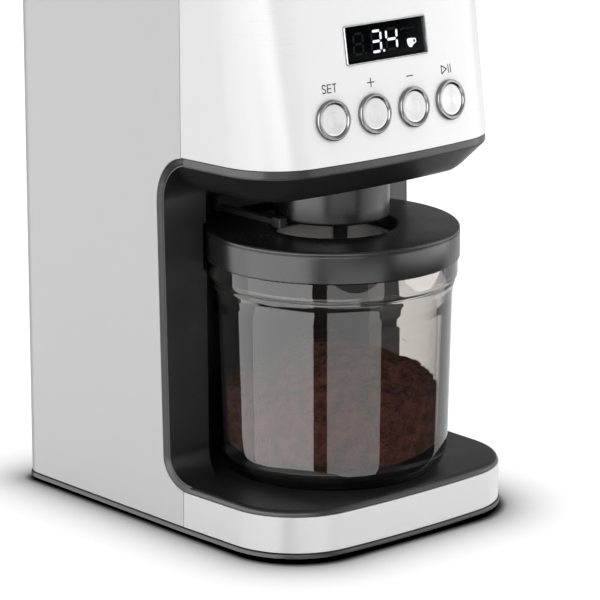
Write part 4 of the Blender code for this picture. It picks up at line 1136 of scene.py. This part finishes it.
def surroundings():
    """A white background; dim to reflections, and to diffuse light bright above and on the right."""
    world = bpy.data.worlds.new("studio")
    bpy.context.scene.world = world
    world.use_nodes = True
    tree = world.node_tree
    tree.nodes.clear()
    ray = node(tree, "LightPath").outputs
    direction = node(tree, "SeparateXYZ", {0: node(tree, "TexCoord").outputs["Generated"]}).outputs
    ahead = spread(tree, direction[1], 0.5, 0.25, -0.5, 0.4)
    above = spread(tree, direction[2], 0.13, 1.0, -0.12, 0.08)
    shiny = maths(tree, "MULTIPLY", ahead, above)
    side = spread(tree, direction[0], 0.1, 0.66, -0.6, 0.1)
    sky = maths(tree, "ADD", spread(tree, direction[2], 0.0, 1.0, 0.3, 0.85), side)
    soft = blend(tree, ray["Is Diffuse Ray"], shiny, sky)
    straight = maths(tree, "LESS_THAN", ray["Glossy Depth"], 0.5)
    reflected = blend(tree, straight, shiny, soft)
    through_glass = maths(tree, "MULTIPLY", ray["Is Transmission Ray"], straight)
    seen = blend(tree, through_glass, reflected, 0.82)
    final = blend(tree, ray["Is Camera Ray"], seen, 1.0)
    shine = node(tree, "Background", {0: (1, 1, 1, 1), 1: final}).outputs[0]
    link(node(tree, "OutputWorld"), {"Surface": shine})


def distance_from_base(tree):
    """How far a point of the floor is from the grinder's rounded footprint, in metres."""
    spot = node(tree, "NewGeometry").outputs["Position"]
    front_corner, rear_corner = 0.034, 0.008
    depth = node(tree, "SeparateXYZ", {0: spot}).outputs[1]
    corner = spread(tree, depth, front_corner, rear_corner, -0.02, 0.02)
    inset = node(tree, "CombineXYZ", {0: corner, 1: corner}).outputs[0]
    half_size = (CAD_BOX[1][0], CAD_BOX[1][1], 0)
    inner = vector_maths(tree, "SUBTRACT", half_size, inset)[0]
    away = vector_maths(tree, "ABSOLUTE", spot)[0]
    away = vector_maths(tree, "SUBTRACT", away, inner)[0]
    away = vector_maths(tree, "MAXIMUM", away, (0, 0, 0))[0]
    away = vector_maths(tree, "LENGTH", away)["Value"]
    return maths(tree, "SUBTRACT", away, corner)


def floor():
    """A white floor with a painted contact shadow: a soft dark halo round the base, darkest under its
    edge, which only the camera sees.
    """
    far = 6000
    corners = [(-far, -far, 0), (far, -far, 0), (far, far, 0), (-far, far, 0)]
    ground = piece("floor", corners, [(0, 1, 2, 3)])
    sockets = {
        "Base Color": (0.9, 0.9, 0.9, 1),
        "Roughness": 0.9,
        "Specular IOR Level": 0.0,
        "Emission Color": (1, 1, 1, 1),
        "Emission Strength": 0.24,
    }
    tree, shader = new_look("floor_white", sockets)
    path = node(tree, "LightPath").outputs
    white = (1, 1, 1, 1)
    bounced = maths(tree, "GREATER_THAN", path["Glossy Depth"], 0.5)
    unlit = node(tree, "Emission", {0: white, 1: 0.04}).outputs[0]
    plain = node(tree, "MixShader", {0: bounced, 1: shader.outputs[0], 2: unlit}).outputs[0]
    away = distance_from_base(tree)
    # painted contact shadow: the floor's glow fades towards the base's footprint and is darker still
    # under its edge
    shadow_reach, open_level, shadow_depth = 0.016, 1.1, 0.99
    fade = maths(tree, "EXPONENT", maths(tree, "MULTIPLY", away, -1 / shadow_reach))
    level = maths(tree, "MULTIPLY_ADD", fade, -shadow_depth, open_level)
    contact_shadow = spread(tree, away, 0.15, 1.0, -0.002, 0.0015)
    brightness = maths(tree, "MULTIPLY", level, contact_shadow)
    painted_shadow = node(tree, "Emission", {0: white, 1: brightness}).outputs[0]
    # a fifth of the floor's own light stays in round the base, so real shadows show faintly
    share = maths(tree, "MULTIPLY_ADD", contact_shadow, -0.2, 1.0)
    share = maths(tree, "MULTIPLY", share, path["Is Camera Ray"])
    mixed = node(tree, "MixShader", {0: share, 1: plain, 2: painted_shadow}).outputs[0]
    link(tree.nodes["Material Output"], {"Surface": mixed})
    ground.data.materials.append(LOOKS["floor_white"])
    ground.visible_glossy = False


def camera():
    data = bpy.data.cameras.new("camera")
    data.sensor_width = 36
    data.lens = 203.59
    data.clip_start = 0.05
    data.clip_end = 60
    eye = bpy.data.objects.new("camera", data)
    eye.location = (-0.9231, -1.0603, 0.4521)
    eye.rotation_euler = (math.pi / 2 - VIEW_DOWN, 0, -VIEW_TURN)
    bpy.context.scene.collection.objects.link(eye)
    bpy.context.scene.camera = eye


looks()
camera()
side_shell()
head_cover()
c_frame()
base()
top_deck()
cord_gland()
buttons()
display()
labels()
chute()
jar()
jar_top()
hopper()
inner_works()
lamps()
surroundings()
floor()
bpy.context.scene.view_settings.view_transform = "Standard"
